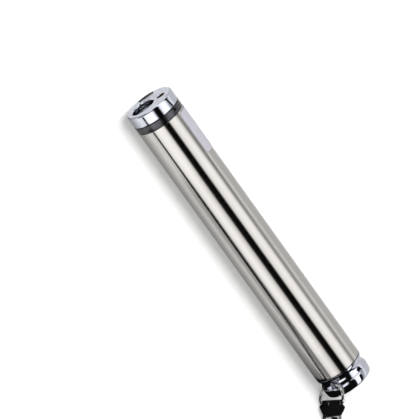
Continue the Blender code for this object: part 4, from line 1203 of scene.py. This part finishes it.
def spigot_thread():
    """A ridge that winds round the spigot, closed at both ends."""
    rise, fall, end = (THREAD_START + reach for reach in THREAD_FLANKS)
    ridge = draw_outline("tail_cap_thread", [
        Vector((THREAD_START, THREAD_FOOT)), Vector((rise, THREAD_CREST)),
        Vector((fall, THREAD_CREST)), Vector((end, THREAD_FOOT))])
    bpy.ops.mesh.remove_doubles(threshold=MERGE_REACH)
    bpy.ops.object.mode_set(mode="OBJECT")
    apply_modifier(ridge, "SCREW", axis="X", screw_offset=THREAD_PITCH, iterations=THREAD_TURNS,
                   steps=THREAD_STEPS, render_steps=THREAD_STEPS)
    bpy.ops.object.mode_set(mode="EDIT")
    bpy.ops.mesh.select_all(action="SELECT")
    bpy.ops.mesh.remove_doubles(threshold=FINE_MERGE_REACH)
    bpy.ops.mesh.fill_holes(sides=6)
    bpy.ops.mesh.select_all(action="SELECT")
    bpy.ops.mesh.normals_make_consistent(inside=False)
    bpy.ops.object.mode_set(mode="OBJECT")
    bpy.ops.object.shade_smooth_by_angle(angle=SMOOTH_ANGLE)
    print("thread:", len(ridge.data.polygons), "faces")
    return ridge


dress(spigot_thread(), "tail_cap", "chrome", chrome)

# %% [markdown]
# The bail is one length of springy wire bent into a loop and threaded through the cap. We
# give the bends one by one and let a smooth closed curve join them.

# %% Bend the wire bail
WIRE_RADIUS = 0.4 * MM
WIRE_ROUNDNESS = 6
BEND_STEPS = 14
STRAP_ANGLE = math.radians(34)
ALONG = Vector((-math.cos(STRAP_ANGLE), math.sin(STRAP_ANGLE), 0))
ACROSS = Vector((-math.sin(STRAP_ANGLE), -math.cos(STRAP_ANGLE), 0))
UP = Vector((0, 0, 1))
BAR = Vector((-4.65, 7.3, -5.5415)) * MM
BAR_HALF = 3.1 * MM
BAR_ROUND = 0.8 * MM
BAIL_ARCH = ((3.7, 3.5, 4.37), (3.66, 3.29, 6.42), (2.89, 2.9, 7.4), (1.48, 3.19, 7.4),
             (0.11, 3.75, 7.05), (-0.89, 4.1, 5.57), (-2.29, 4.3, 2.43), (-4.29, 4.34, -2.33))
BAIL_RETURN = ((0.89, 5.95, -6.59), (2.59, 4.52, -6.59), (3.52, 3.6, -6.35), (3.7, 3.5, -5.15),
               (3.7, 3.5, -2.47), (3.7, 3.5, 0))


def on_strap(along, across, height):
    """A point in the strap's own directions, from the middle of the bail's bar."""
    return BAR + along * ALONG + across * ACROSS + height * UP


def bend_bail():
    """A closed smooth wire through the bail's bends."""
    inner = BAR_HALF - BAR_ROUND
    bar = [on_strap(-BAR_ROUND, BAR_HALF, BAR_ROUND / 4), on_strap(0, inner, 0), on_strap(0, 0, 0),
           on_strap(0, -inner, 0), on_strap(-BAR_ROUND, -BAR_HALF, 0)]
    bends = [Vector(p) * MM for p in BAIL_ARCH] + bar + [Vector(p) * MM for p in BAIL_RETURN]
    path = new_wire("wire_bail_fine", WIRE_RADIUS, WIRE_ROUNDNESS)
    path.resolution_u = BEND_STEPS
    line = path.splines.new("BEZIER")
    line.bezier_points.add(len(bends) - 1)
    for knot, point in zip(line.bezier_points, bends):
        knot.co = point
        knot.handle_left_type = "AUTO"
        knot.handle_right_type = "AUTO"
    line.use_cyclic_u = True
    made = wire_mesh("wire_bail_fine", path)
    bpy.ops.object.shade_smooth()
    print("bail:", len(made.data.polygons), "faces")
    return made


dress(bend_bail(), "bail", "spring_steel", wire_steel, "wire_bail")

# %% [markdown]
# The strap begins with a tab of black leatherette, sewn with black thread. Leatherette is
# cloth with a vinyl face: almost without shine, but its pebbled grain catches small lights.
# The thread is a little paler and has a soft sheen, so that a stitch can be told from it.

# %% Leatherette and thread
def black_leatherette():
    """Vinyl-faced cloth: deep black, low sheen, with a fine pebbled grain."""
    made, tree, place = start_material("black_leatherette", Specular_IOR_Level=0.12)
    pebbles = add_node(tree, "TexVoronoi", Vector=place, Scale=per_mm(0.35))
    fine = add_node(tree, "TexNoise", Vector=place, Scale=per_mm(0.8), Detail=4.0)
    add_node(tree, "Mix", {"data_type": "RGBA"}, feeds="Base Color", Factor_Float=fine,
             A_Color=colour("050505"), B_Color=colour("0C0C0D"))
    add_node(tree, "MapRange", feeds="Roughness", Value=fine, To_Min=0.5, To_Max=0.7)
    add_node(tree, "Bump", feeds="Normal", Height=pebbles, Distance=0.02 * MM, Strength=0.5)
    return made


def polyester_thread():
    """Bonded polyester thread: grey-black, twisted, with a soft sheen."""
    made, tree, place = start_material("polyester_thread", Sheen_Weight=0.3)
    twist = add_node(tree, "TexWave", Vector=place, Scale=per_mm(0.9), Distortion=1.0)
    add_node(tree, "Mix", {"data_type": "RGBA"}, feeds="Base Color", Factor_Float=twist,
             A_Color=colour("3A3A3D"), B_Color=colour("77777B"))
    add_node(tree, "MapRange", feeds="Roughness", Value=twist, To_Min=0.5, To_Max=0.7)
    add_node(tree, "Bump", feeds="Normal", Height=twist, Distance=0.03 * MM)
    return made


leatherette = black_leatherette()
thread_fibre = polyester_thread()
print("strap finishes:", leatherette.name, thread_fibre.name)

# %% [markdown]
# The tab is one strip folded round the bail's bar. We draw it as seen from its edge:
# extruded along its lower layer, spun half a turn round the bar, and extruded back along its
# upper layer. Each step also sets how wide the strip is. Solidify gives it its thickness. It
# is modelled in its own directions and then laid in the strap's place.

# %% Fold the strap's tab
TAB_LAYER = 0.6 * MM
TAB_STRIPS = 8
FOLD_STEPS = 14
TAB_EDGE = 0.12 * MM
# Millimetres from the bar, height of the layer's middle, and width of the strip there
TAB_STATIONS = ((4.7, 0.32, 4.2), (3.15, 0.32, 4.3), (3.0, 0.33, 5.0), (2.7, 0.36, 5.3),
                (2.3, 0.45, 5.62), (1.9, 0.58, 5.95), (1.5, 0.7, 6.3), (1.15, 0.79, 6.5),
                (0.8, 0.84, 6.7), (0.5, 0.86, 6.7), (0.4, 0.86, 5.6), (0.0, 0.87, 5.3))


def step_strip(before, after, side):
    """Extrude the strip's edge from one station to the next and set its width."""
    move = ((after[0] - before[0]) * MM, 0, side * (after[1] - before[1]) * MM)
    bpy.ops.mesh.extrude_region_move(TRANSFORM_OT_translate={"value": move})
    bpy.ops.transform.resize(value=(1, after[2] / before[2], 1), center_override=(0, 0, 0))


def fold_tab():
    """The strip, folded round the bar and given its thickness."""
    select_only()
    first = TAB_STATIONS[0]
    bpy.ops.mesh.primitive_plane_add(size=MM, location=(first[0] * MM, -first[2] / 2 * MM,
                                                        -first[1] * MM))
    tab = bpy.context.object
    tab.name = "strap_tab_folded"
    bpy.ops.object.transform_apply(location=True, rotation=True, scale=True)
    bpy.ops.object.mode_set(mode="EDIT")
    bpy.ops.mesh.select_mode(type="VERT")
    bpy.ops.mesh.merge(type="CENTER")
    for strip in range(TAB_STRIPS):
        bpy.ops.mesh.extrude_region_move(
            TRANSFORM_OT_translate={"value": (0, first[2] / TAB_STRIPS * MM, 0)})
    bpy.ops.mesh.select_all(action="SELECT")
    for before, after in zip(TAB_STATIONS, TAB_STATIONS[1:]):
        step_strip(before, after, -1)
    bpy.ops.mesh.spin(steps=FOLD_STEPS, angle=math.pi, center=(0, 0, 0), axis=(0, -1, 0))
    back = TAB_STATIONS[::-1]
    for before, after in zip(back, back[1:]):
        step_strip(before, after, 1)
    bpy.ops.mesh.select_all(action="SELECT")
    bpy.ops.mesh.remove_doubles(threshold=FINE_MERGE_REACH)
    bpy.ops.mesh.normals_make_consistent(inside=False)
    bpy.ops.object.mode_set(mode="OBJECT")
    apply_modifier(tab, "SOLIDIFY", thickness=TAB_LAYER, offset=0, use_even_offset=True)
    apply_modifier(tab, "BEVEL", width=TAB_EDGE, segments=3, limit_method="ANGLE",
                   angle_limit=math.radians(50))
    return tab


def lay_in_strap(piece):
    """Turn a piece from its own directions into the strap's, at the bail's bar."""
    select_only(piece)
    turn = Matrix((ALONG, ACROSS, UP)).transposed().to_4x4()
    piece.matrix_world = Matrix.Translation(BAR) @ turn
    bpy.ops.object.transform_apply(location=True, rotation=True, scale=True)
    bpy.ops.object.shade_smooth_by_angle(angle=SMOOTH_ANGLE)
    print(piece.name, "mm:", [round(d / MM, 1) for d in piece.dimensions])
    return piece


dress(lay_in_strap(fold_tab()), "strap", "strap", leatherette, "strap_tab")

# %% [markdown]
# Two stitches hold the fold. Each is a short bight of thread whose ends dive into the
# leatherette, so it is a tiny bent wire rather than a painted mark.

# %% Sew the two stitches
THREAD_RADIUS = 0.13 * MM
# Millimetres from the bar and above it, along one stitch
STITCH_BEND = ((-0.85, 0.55), (-0.86, 0.82), (-0.72, 1.02), (-0.5, 1.16), (-0.28, 1.2),
               (-0.2, 0.95))
STITCH_ACROSS = (-1.25, 2.0)


def stitch(across):
    """One bight of thread over the fold."""
    points = [on_strap(x * MM, across * MM, z * MM) for x, z in STITCH_BEND]
    return round_wire("stitch", smooth_route(points), THREAD_RADIUS, roundness=4)


for across in STITCH_ACROSS:
    dress(stitch(across), "strap", "strap", thread_fibre)
print("stitches:", len(STITCH_ACROSS))

# %% [markdown]
# An oval sleeve of chromed brass is crimped over the tab's end and the doubled cord. It is
# a ring pulled out along the strap, a little narrower at each lip and flattened where the
# pliers closed it.

# %% Crimp the ferrule
FERRULE_START = 3.0 * MM
FERRULE_WIDTH = 5.2 * MM
FERRULE_HEIGHT = 3.0 * MM
FERRULE_WALL = 0.35 * MM
FERRULE_MIDDLE = 0.05 * MM
FERRULE_EDGE = 0.1 * MM
RING_POINTS = 64
# Millimetres from the front lip, then the width and the height there as shares
FERRULE_STATIONS = ((0, 0.96, 0.84), (0.1, 0.985, 0.88), (0.3, 1, 0.91), (1.2, 1, 0.93),
                    (1.9, 0.99, 0.86), (2.3, 0.985, 0.82), (3.3, 0.985, 0.82), (3.7, 0.99, 0.88),
                    (4.3, 1, 0.98), (5.7, 1, 1), (5.9, 0.985, 0.98), (6.0, 0.96, 0.94))


def crimped_ferrule():
    """An oval sleeve with soft lips and a flattened middle."""
    select_only()
    bpy.ops.mesh.primitive_circle_add(
        vertices=RING_POINTS, radius=FERRULE_HEIGHT / 2,
        location=(FERRULE_START, 0, FERRULE_MIDDLE),
        rotation=(math.pi / RING_POINTS, math.pi / 2, 0))
    sleeve = bpy.context.object
    sleeve.name = "crimp_ferrule_fine"
    bpy.ops.object.transform_apply(location=True, rotation=True, scale=True)
    bpy.ops.object.mode_set(mode="EDIT")
    bpy.ops.mesh.select_mode(type="VERT")
    bpy.ops.mesh.select_all(action="SELECT")
    first = FERRULE_STATIONS[0]
    middle = (0, 0, FERRULE_MIDDLE)
    oval = FERRULE_WIDTH / FERRULE_HEIGHT
    bpy.ops.transform.resize(value=(1, oval * first[1], first[2]), center_override=middle)
    for before, after in zip(FERRULE_STATIONS, FERRULE_STATIONS[1:]):
        bpy.ops.mesh.extrude_region_move(
            TRANSFORM_OT_translate={"value": ((after[0] - before[0]) * MM, 0, 0)})
        bpy.ops.transform.resize(value=(1, after[1] / before[1], after[2] / before[2]),
                                 center_override=middle)
    bpy.ops.mesh.select_all(action="SELECT")
    bpy.ops.mesh.normals_make_consistent(inside=False)
    bpy.ops.object.mode_set(mode="OBJECT")
    apply_modifier(sleeve, "SOLIDIFY", thickness=FERRULE_WALL, offset=-1)
    apply_modifier(sleeve, "BEVEL", width=FERRULE_EDGE, segments=3, limit_method="ANGLE",
                   angle_limit=math.radians(40))
    return sleeve


def dark_chrome():
    """Chrome over rough-cast brass: a darker, cloudier mirror than the head's."""
    made, tree, place = start_material("dark_chrome_plating", Metallic=1.0)
    clouds = add_node(tree, "TexNoise", Vector=place, Scale=per_mm(0.8), Detail=4.0)
    add_node(tree, "Mix", {"data_type": "RGBA"}, feeds="Base Color", Factor_Float=clouds,
             A_Color=colour("77767A"), B_Color=colour("A3A2A6"))
    add_node(tree, "MapRange", feeds="Roughness", Value=clouds, From_Min=0.3, From_Max=0.7,
             To_Min=0.1, To_Max=0.22)
    add_node(tree, "Bump", feeds="Normal", Height=clouds, Distance=0.012 * MM)
    return made


dress(lay_in_strap(crimped_ferrule()), "strap", "chrome", dark_chrome(), "crimp_ferrule")

# %% [markdown]
# The cord is a round braid: eight strands cross over and under one another. The cord's own
# map gives a distance along it and an angle round it. Two slanted counts of strands, one
# each way, make the diamonds, and each diamond bulges like the yarn it is. Its colour is
# darker between the diamonds: painted shade in the hollows of the braid.

# %% Braid the cord
STRANDS_ROUND = 8.0
PICK_LENGTH = 1.1 * MM


def braided_nylon():
    """Braided black nylon: diamonds of yarn, glossy on their crowns, with painted shade between.
    """
    made, tree, place = start_material("braided_nylon", Sheen_Weight=0.25)
    lie = add_node(tree, "UVMap")
    split = add_node(tree, "SeparateXYZ", Vector=lie)
    along = add_node(tree, "Math", {"operation": "MULTIPLY"}, Value=split.outputs["Y"],
                     Value_001=CORD_LENGTH / PICK_LENGTH)
    right_lay = add_node(tree, "Math", {"operation": "MULTIPLY_ADD"}, Value=split.outputs["X"],
                         Value_001=STRANDS_ROUND, Value_002=along)
    turned_back = add_node(tree, "Math", {"operation": "MULTIPLY"}, Value=along, Value_001=-1.0)
    left_lay = add_node(tree, "Math", {"operation": "MULTIPLY_ADD"}, Value=split.outputs["X"],
                        Value_001=STRANDS_ROUND, Value_002=turned_back)
    right_bulge = add_node(tree, "Math", {"operation": "PINGPONG"}, Value=right_lay, Value_001=0.5)
    left_bulge = add_node(tree, "Math", {"operation": "PINGPONG"}, Value=left_lay, Value_001=0.5)
    crown = add_node(tree, "Math", {"operation": "MULTIPLY"}, Value=right_bulge,
                     Value_001=left_bulge)
    add_node(tree, "MapRange", feeds="Roughness", Value=crown, From_Max=0.25, To_Min=0.75,
             To_Max=0.45)
    # Painted shade: the colour is darker between the diamonds than on their crowns
    crevice_shade_mix = add_node(tree, "MapRange", Value=crown, From_Max=0.2)
    add_node(tree, "Mix", {"data_type": "RGBA"}, feeds="Base Color", Factor_Float=crevice_shade_mix,
             A_Color=colour("050506"), B_Color=colour("1D1D20"))
    yarn = add_node(tree, "TexNoise", Vector=place, Scale=per_mm(0.15), Detail=3.0)
    height = add_node(tree, "Math", {"operation": "MULTIPLY_ADD"}, Value=yarn, Value_001=0.04,
                      Value_002=crown)
    add_node(tree, "Bump", feeds="Normal", Height=height, Distance=0.6 * MM)
    return made


cord.data.materials.clear()
cord.data.materials.append(braided_nylon())
print("cord map:", cord.data.uv_layers[0].name)

# %% [markdown]
# A sticker of satin film sits low on the tube's side. It stays bare. We cut it flat with
# rounded corners, as it comes off its roll, and then bend it round the tube.

# %% Stick the label on
LABEL_LOW, LABEL_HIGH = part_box("label")
FILM_THICKNESS = 0.1 * MM
FILM_RADIUS = 7.06 * MM
FILM_CORNER = 1.2 * MM
FILM_FROM = math.radians(44)
FILM_TO = math.radians(128)
FILM_STRIPS = 48
CORNER_STEPS = 8


def satin_film():
    """Satin film: softly shiny, cool grey, with the tiny dimples of its glue underneath."""
    made, tree, place = start_material("satin_label_film", Coat_Weight=0.25, Coat_Roughness=0.25)
    dimples = add_node(tree, "TexNoise", Vector=place, Scale=per_mm(0.9), Detail=4.0)
    add_node(tree, "Mix", {"data_type": "RGBA"}, feeds="Base Color", Factor_Float=dimples,
             A_Color=colour("B6B3BF"), B_Color=colour("C3C0CB"))
    add_node(tree, "MapRange", feeds="Roughness", Value=dimples, To_Min=0.38, To_Max=0.55)
    add_node(tree, "Bump", feeds="Normal", Height=dimples, Distance=0.006 * MM)
    return made


def label_film():
    """A rounded rectangle of film, cut flat and bent round the tube."""
    select_only()
    turn = FILM_TO - FILM_FROM
    bpy.ops.mesh.primitive_plane_add(size=1)
    film = bpy.context.object
    film.name = "label_film"
    film.rotation_euler = (math.pi / 2, 0, 0)
    film.scale = (turn * FILM_RADIUS, LABEL_HIGH[0] - LABEL_LOW[0], 1)
    bpy.ops.object.transform_apply(location=True, rotation=True, scale=True)
    bpy.ops.object.mode_set(mode="EDIT")
    bpy.ops.mesh.select_all(action="SELECT")
    bpy.ops.mesh.bevel(offset=FILM_CORNER, segments=CORNER_STEPS, affect="VERTICES")
    for strip in range(1, FILM_STRIPS):
        bpy.ops.mesh.select_all(action="SELECT")
        bpy.ops.mesh.bisect(plane_co=((strip / FILM_STRIPS - 0.5) * turn * FILM_RADIUS, 0, 0),
                            plane_no=(1, 0, 0))
    bpy.ops.mesh.select_all(action="SELECT")
    bpy.ops.mesh.normals_make_consistent(inside=False)
    bpy.ops.object.mode_set(mode="OBJECT")
    apply_modifier(film, "SIMPLE_DEFORM", deform_method="BEND", deform_axis="Z", angle=turn)
    apply_modifier(film, "SOLIDIFY", thickness=FILM_THICKNESS, offset=0)
    middle = (FILM_FROM + FILM_TO) / 2
    outward = Vector((0, -math.sin(middle), math.cos(middle)))
    forward = Vector((1, 0, 0))
    place = Matrix((forward.cross(outward), -outward, forward)).transposed().to_4x4()
    film.matrix_world = (Matrix.Translation(((LABEL_LOW[0] + LABEL_HIGH[0]) / 2, 0, 0))
                         @ place @ Matrix.Translation((0, -FILM_RADIUS, 0)))
    bpy.ops.object.transform_apply(location=True, rotation=True, scale=True)
    bpy.ops.object.shade_smooth_by_angle(angle=SMOOTH_ANGLE)
    print("label, mm:", [round(size / MM, 2) for size in film.dimensions])
    return film


dress(label_film(), "tube", "label", satin_film(), "label")

# %% [markdown]
# What is left are the parts inside. They show when the torch is opened, so they get their
# own finishes too. First come the plastics: each has a dark or clear body whose shine is
# broken by how it was moulded, drawn or shrunk.

# %% Finish the plastics
def moulded_nylon():
    """Black glass-filled nylon: matt, with the faint sparkle of its fibres."""
    made, tree, place = start_material("black_moulded_nylon")
    fibres = add_node(tree, "TexNoise", Vector=place, Scale=per_mm(0.25), Detail=5.0)
    add_node(tree, "Mix", {"data_type": "RGBA"}, feeds="Base Color", Factor_Float=fibres,
             A_Color=colour("121213"), B_Color=colour("232325"))
    add_node(tree, "MapRange", feeds="Roughness", Value=fibres, To_Min=0.42, To_Max=0.62)
    add_node(tree, "Bump", feeds="Normal", Height=fibres, Distance=0.01 * MM)
    return made


def polyester_liner():
    """A milky polyester sleeve: half see-through, with drawn streaks along it."""
    made, tree, place = start_material("milky_polyester", Transmission_Weight=0.5, IOR=1.57)
    drawn = add_node(tree, "Mapping", Vector=place, Scale=(0.08, 1, 1))
    streaks = add_node(tree, "TexNoise", Vector=drawn, Scale=per_mm(0.5), Detail=3.0)
    add_node(tree, "Mix", {"data_type": "RGBA"}, feeds="Base Color", Factor_Float=streaks,
             A_Color=colour("D6D6D2"), B_Color=colour("EBEBE8"))
    add_node(tree, "MapRange", feeds="Roughness", Value=streaks, To_Min=0.2, To_Max=0.4)
    return made


def shrink_film():
    """Shrunk PVC film: deep blue and glossy, with slow waves from the heat."""
    made, tree, place = start_material("blue_shrink_film", Coat_Weight=0.5, Coat_Roughness=0.06)
    waves = add_node(tree, "TexNoise", Vector=place, Scale=per_mm(5.0), Detail=1.0)
    add_node(tree, "Mix", {"data_type": "RGBA"}, feeds="Base Color", Factor_Float=waves,
             A_Color=colour("173A72"), B_Color=colour("22508F"))
    add_node(tree, "MapRange", feeds="Roughness", Value=waves, To_Min=0.14, To_Max=0.26)
    add_node(tree, "Bump", feeds="Normal", Height=waves, Distance=0.08 * MM)
    return made


nylon = moulded_nylon()
liner = polyester_liner()
blue_film = shrink_film()
print("plastics:", nylon.name, liner.name, blue_film.name)

# %% [markdown]
# The laser's leads are insulated with soft PVC that lets a little light into its skin. The
# tail cap's seal is black rubber, dull where it is dry and shiny where it is greased.

# %% Finish the insulation and the seal
def pvc_insulation():
    """Red PVC lead insulation: smooth, slightly waxy."""
    made, tree, place = start_material("red_pvc", Subsurface_Weight=0.08)
    wax = add_node(tree, "TexNoise", Vector=place, Scale=per_mm(0.8), Detail=2.0)
    add_node(tree, "Mix", {"data_type": "RGBA"}, feeds="Base Color", Factor_Float=wax,
             A_Color=colour("8E0F12"), B_Color=colour("B5191B"))
    add_node(tree, "MapRange", feeds="Roughness", Value=wax, To_Min=0.3, To_Max=0.45)
    return made


def nitrile_rubber():
    """Greased nitrile rubber: black, with wet patches where the grease lies."""
    made, tree, place = start_material("nitrile_rubber")
    grease = add_node(tree, "TexNoise", Vector=place, Scale=per_mm(1.2), Detail=3.0)
    add_node(tree, "Mix", {"data_type": "RGBA"}, feeds="Base Color", Factor_Float=grease,
             A_Color=colour("0B0B0B"), B_Color=colour("171717"))
    add_node(tree, "MapRange", feeds="Roughness", Value=grease, From_Min=0.35, From_Max=0.65,
             To_Min=0.12, To_Max=0.6)
    return made


red_pvc = pvc_insulation()
rubber = nitrile_rubber()
print("soft plastics:", red_pvc.name, rubber.name)

# %% [markdown]
# Then the metals. Nickel is warmer than chrome, gold keeps a switch pad clean, beryllium
# copper makes a springy wiper, and a bath of tin leaves the lamp's legs pale and lumpy.

# %% Finish the inner metals
def nickel_plating():
    """Barrel-plated nickel: warm and bright, with fine rubbing marks from the drum."""
    made, tree, place = start_material("nickel_plating", Metallic=1.0)
    rubs = add_node(tree, "TexNoise", Vector=place, Scale=per_mm(0.3), Detail=5.0)
    add_node(tree, "Mix", {"data_type": "RGBA"}, feeds="Base Color", Factor_Float=rubs,
             A_Color=colour("B9B4A8"), B_Color=colour("D0CBC0"))
    add_node(tree, "MapRange", feeds="Roughness", Value=rubs, From_Min=0.3, From_Max=0.7,
             To_Min=0.16, To_Max=0.32)
    add_node(tree, "Bump", feeds="Normal", Height=rubs, Distance=0.002 * MM)
    return made


def gold_plating():
    """Thin hard gold on a contact: rich yellow with a dull track where the wiper rubs."""
    made, tree, place = start_material("gold_plating", Metallic=1.0)
    track = add_node(tree, "TexNoise", Vector=place, Scale=per_mm(0.5), Detail=4.0)
    add_node(tree, "Mix", {"data_type": "RGBA"}, feeds="Base Color", Factor_Float=track,
             A_Color=colour("D9AE4E"), B_Color=colour("EBC873"))
    add_node(tree, "MapRange", feeds="Roughness", Value=track, To_Min=0.15, To_Max=0.4)
    return made


def beryllium_copper():
    """Springy beryllium copper: reddish, with the rolling direction in its shine."""
    made, tree, place = start_material("beryllium_copper", Metallic=1.0)
    rolled = add_node(tree, "Mapping", Vector=place, Scale=(1, 1, 0.1))
    lines = add_node(tree, "TexNoise", Vector=rolled, Scale=per_mm(0.15), Detail=3.0)
    add_node(tree, "Mix", {"data_type": "RGBA"}, feeds="Base Color", Factor_Float=lines,
             A_Color=colour("C08552"), B_Color=colour("D79C69"))
    add_node(tree, "MapRange", feeds="Roughness", Value=lines, To_Min=0.2, To_Max=0.38)
    return made


def tinned_copper():
    """Tinned copper leads: pale grey metal, slightly lumpy from the dip."""
    made, tree, place = start_material("tinned_copper", Metallic=1.0)
    lumps = add_node(tree, "TexNoise", Vector=place, Scale=per_mm(0.4), Detail=3.0)
    add_node(tree, "Mix", {"data_type": "RGBA"}, feeds="Base Color", Factor_Float=lumps,
             A_Color=colour("B4B4B2"), B_Color=colour("CDCDCB"))
    add_node(tree, "MapRange", feeds="Roughness", Value=lumps, To_Min=0.22, To_Max=0.4)
    add_node(tree, "Bump", feeds="Normal", Height=lumps, Distance=0.02 * MM)
    return made


nickel = nickel_plating()
gold = gold_plating()
spring_copper = beryllium_copper()
tinned = tinned_copper()
print("inner metals:", nickel.name, gold.name, spring_copper.name, tinned.name)

# %% [markdown]
# Last come the cell's card washer and the circuit. A green lacquer covers the board's
# woven glass, and each small part on it has a skin of its own: sandy moulding compound on
# the chip, smooth fired ceramic on the capacitor, and a shiny glaze on the resistor.

# %% Finish the washer and the circuit
def card_washer():
    """Grey vulcanised card: matt, fibrous and slightly furry."""
    made, tree, place = start_material("vulcanised_card", Sheen_Weight=0.2)
    fibres = add_node(tree, "TexNoise", Vector=place, Scale=per_mm(0.2), Detail=6.0)
    add_node(tree, "Mix", {"data_type": "RGBA"}, feeds="Base Color", Factor_Float=fibres,
             A_Color=colour("8A8880"), B_Color=colour("A9A79F"))
    add_node(tree, "MapRange", feeds="Roughness", Value=fibres, To_Min=0.75, To_Max=0.95)
    add_node(tree, "Bump", feeds="Normal", Height=fibres, Distance=0.02 * MM)
    return made


def solder_mask():
    """Green solder mask: glossy lacquer over the weave of the board."""
    made, tree, place = start_material("green_solder_mask", Coat_Weight=0.6, Coat_Roughness=0.12)
    weave = add_node(tree, "TexChecker", Vector=place, Scale=per_mm(0.4))
    soft = add_node(tree, "TexNoise", Vector=place, Scale=per_mm(1.5), Detail=2.0)
    add_node(tree, "Mix", {"data_type": "RGBA"}, feeds="Base Color", Factor_Float=soft,
             A_Color=colour("0F4A2A"), B_Color=colour("17613A"))
    add_node(tree, "MapRange", feeds="Roughness", Value=soft, To_Min=0.25, To_Max=0.4)
    add_node(tree, "Bump", feeds="Normal", Height=weave.outputs["Fac"], Distance=0.006 * MM)
    return made


def chip_epoxy():
    """Black moulding compound: matt and sandy, like a slate."""
    made, tree, place = start_material("black_moulding_compound")
    sand = add_node(tree, "TexNoise", Vector=place, Scale=per_mm(0.08), Detail=4.0)
    add_node(tree, "Mix", {"data_type": "RGBA"}, feeds="Base Color", Factor_Float=sand,
             A_Color=colour("19191A"), B_Color=colour("2B2B2D"))
    add_node(tree, "MapRange", feeds="Roughness", Value=sand, To_Min=0.6, To_Max=0.8)
    add_node(tree, "Bump", feeds="Normal", Height=sand, Distance=0.006 * MM)
    return made


def tan_ceramic():
    """Fired capacitor ceramic: tan, fine and eggshell-smooth."""
    made, tree, place = start_material("tan_ceramic")
    body = add_node(tree, "TexNoise", Vector=place, Scale=per_mm(0.2), Detail=3.0)
    add_node(tree, "Mix", {"data_type": "RGBA"}, feeds="Base Color", Factor_Float=body,
             A_Color=colour("9B7B58"), B_Color=colour("B18F6A"))
    add_node(tree, "MapRange", feeds="Roughness", Value=body, To_Min=0.35, To_Max=0.5)
    return made


def resistor_film():
    """A chip resistor's black glaze over a ceramic body: shiny and slightly domed."""
    made, tree, place = start_material("black_resistor_glaze", Coat_Weight=0.4)
    glaze = add_node(tree, "TexNoise", Vector=place, Scale=per_mm(0.3), Detail=2.0)
    add_node(tree, "Mix", {"data_type": "RGBA"}, feeds="Base Color", Factor_Float=glaze,
             A_Color=colour("131314"), B_Color=colour("202022"))
    add_node(tree, "MapRange", feeds="Roughness", Value=glaze, To_Min=0.2, To_Max=0.35)
    return made


washer_card = card_washer()
board_mask = solder_mask()
chip_skin = chip_epoxy()
resistor_glaze = resistor_film()
ceramic = tan_ceramic()
print("circuit:", board_mask.name, chip_skin.name, resistor_glaze.name, ceramic.name)

# %% [markdown]
# Each inner piece is used as it was modelled. It only takes its finish, in the slots of its
# object, so that its mesh stays untouched.

# %% Give the inner pieces their finishes
INNER_FINISHES = {
    "snap_ring": wire_steel, "contact_plate": nylon, "led_pad": gold, "off_pad": gold,
    "laser_pad": gold, "positive_stud": brass, "cell_liner": liner, "cell_can": nickel,
    "cell_jacket": blue_film, "cell_washer": washer_card, "cell_nub": nickel,
    "led_leg_1": tinned, "led_leg_2": tinned, "laser_spring": wire_steel, "laser_diode": gold,
    "laser_lead_1": red_pvc, "laser_lead_2": red_pvc, "lamp_carrier": nylon,
    "driver_board": board_mask, "driver_chip": chip_skin, "resistor": resistor_glaze,
    "capacitor": ceramic, "wiper_contact": spring_copper, "tail_seal": rubber,
    "spring_seat": brass, "tail_spring": wire_steel}

for name, finish in INNER_FINISHES.items():
    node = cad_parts[name]
    if not node.material_slots:
        node.data.materials.append(finish)
    for slot in node.material_slots:
        slot.link = "OBJECT"
        slot.material = finish
print("inner pieces finished:", len(INNER_FINISHES))
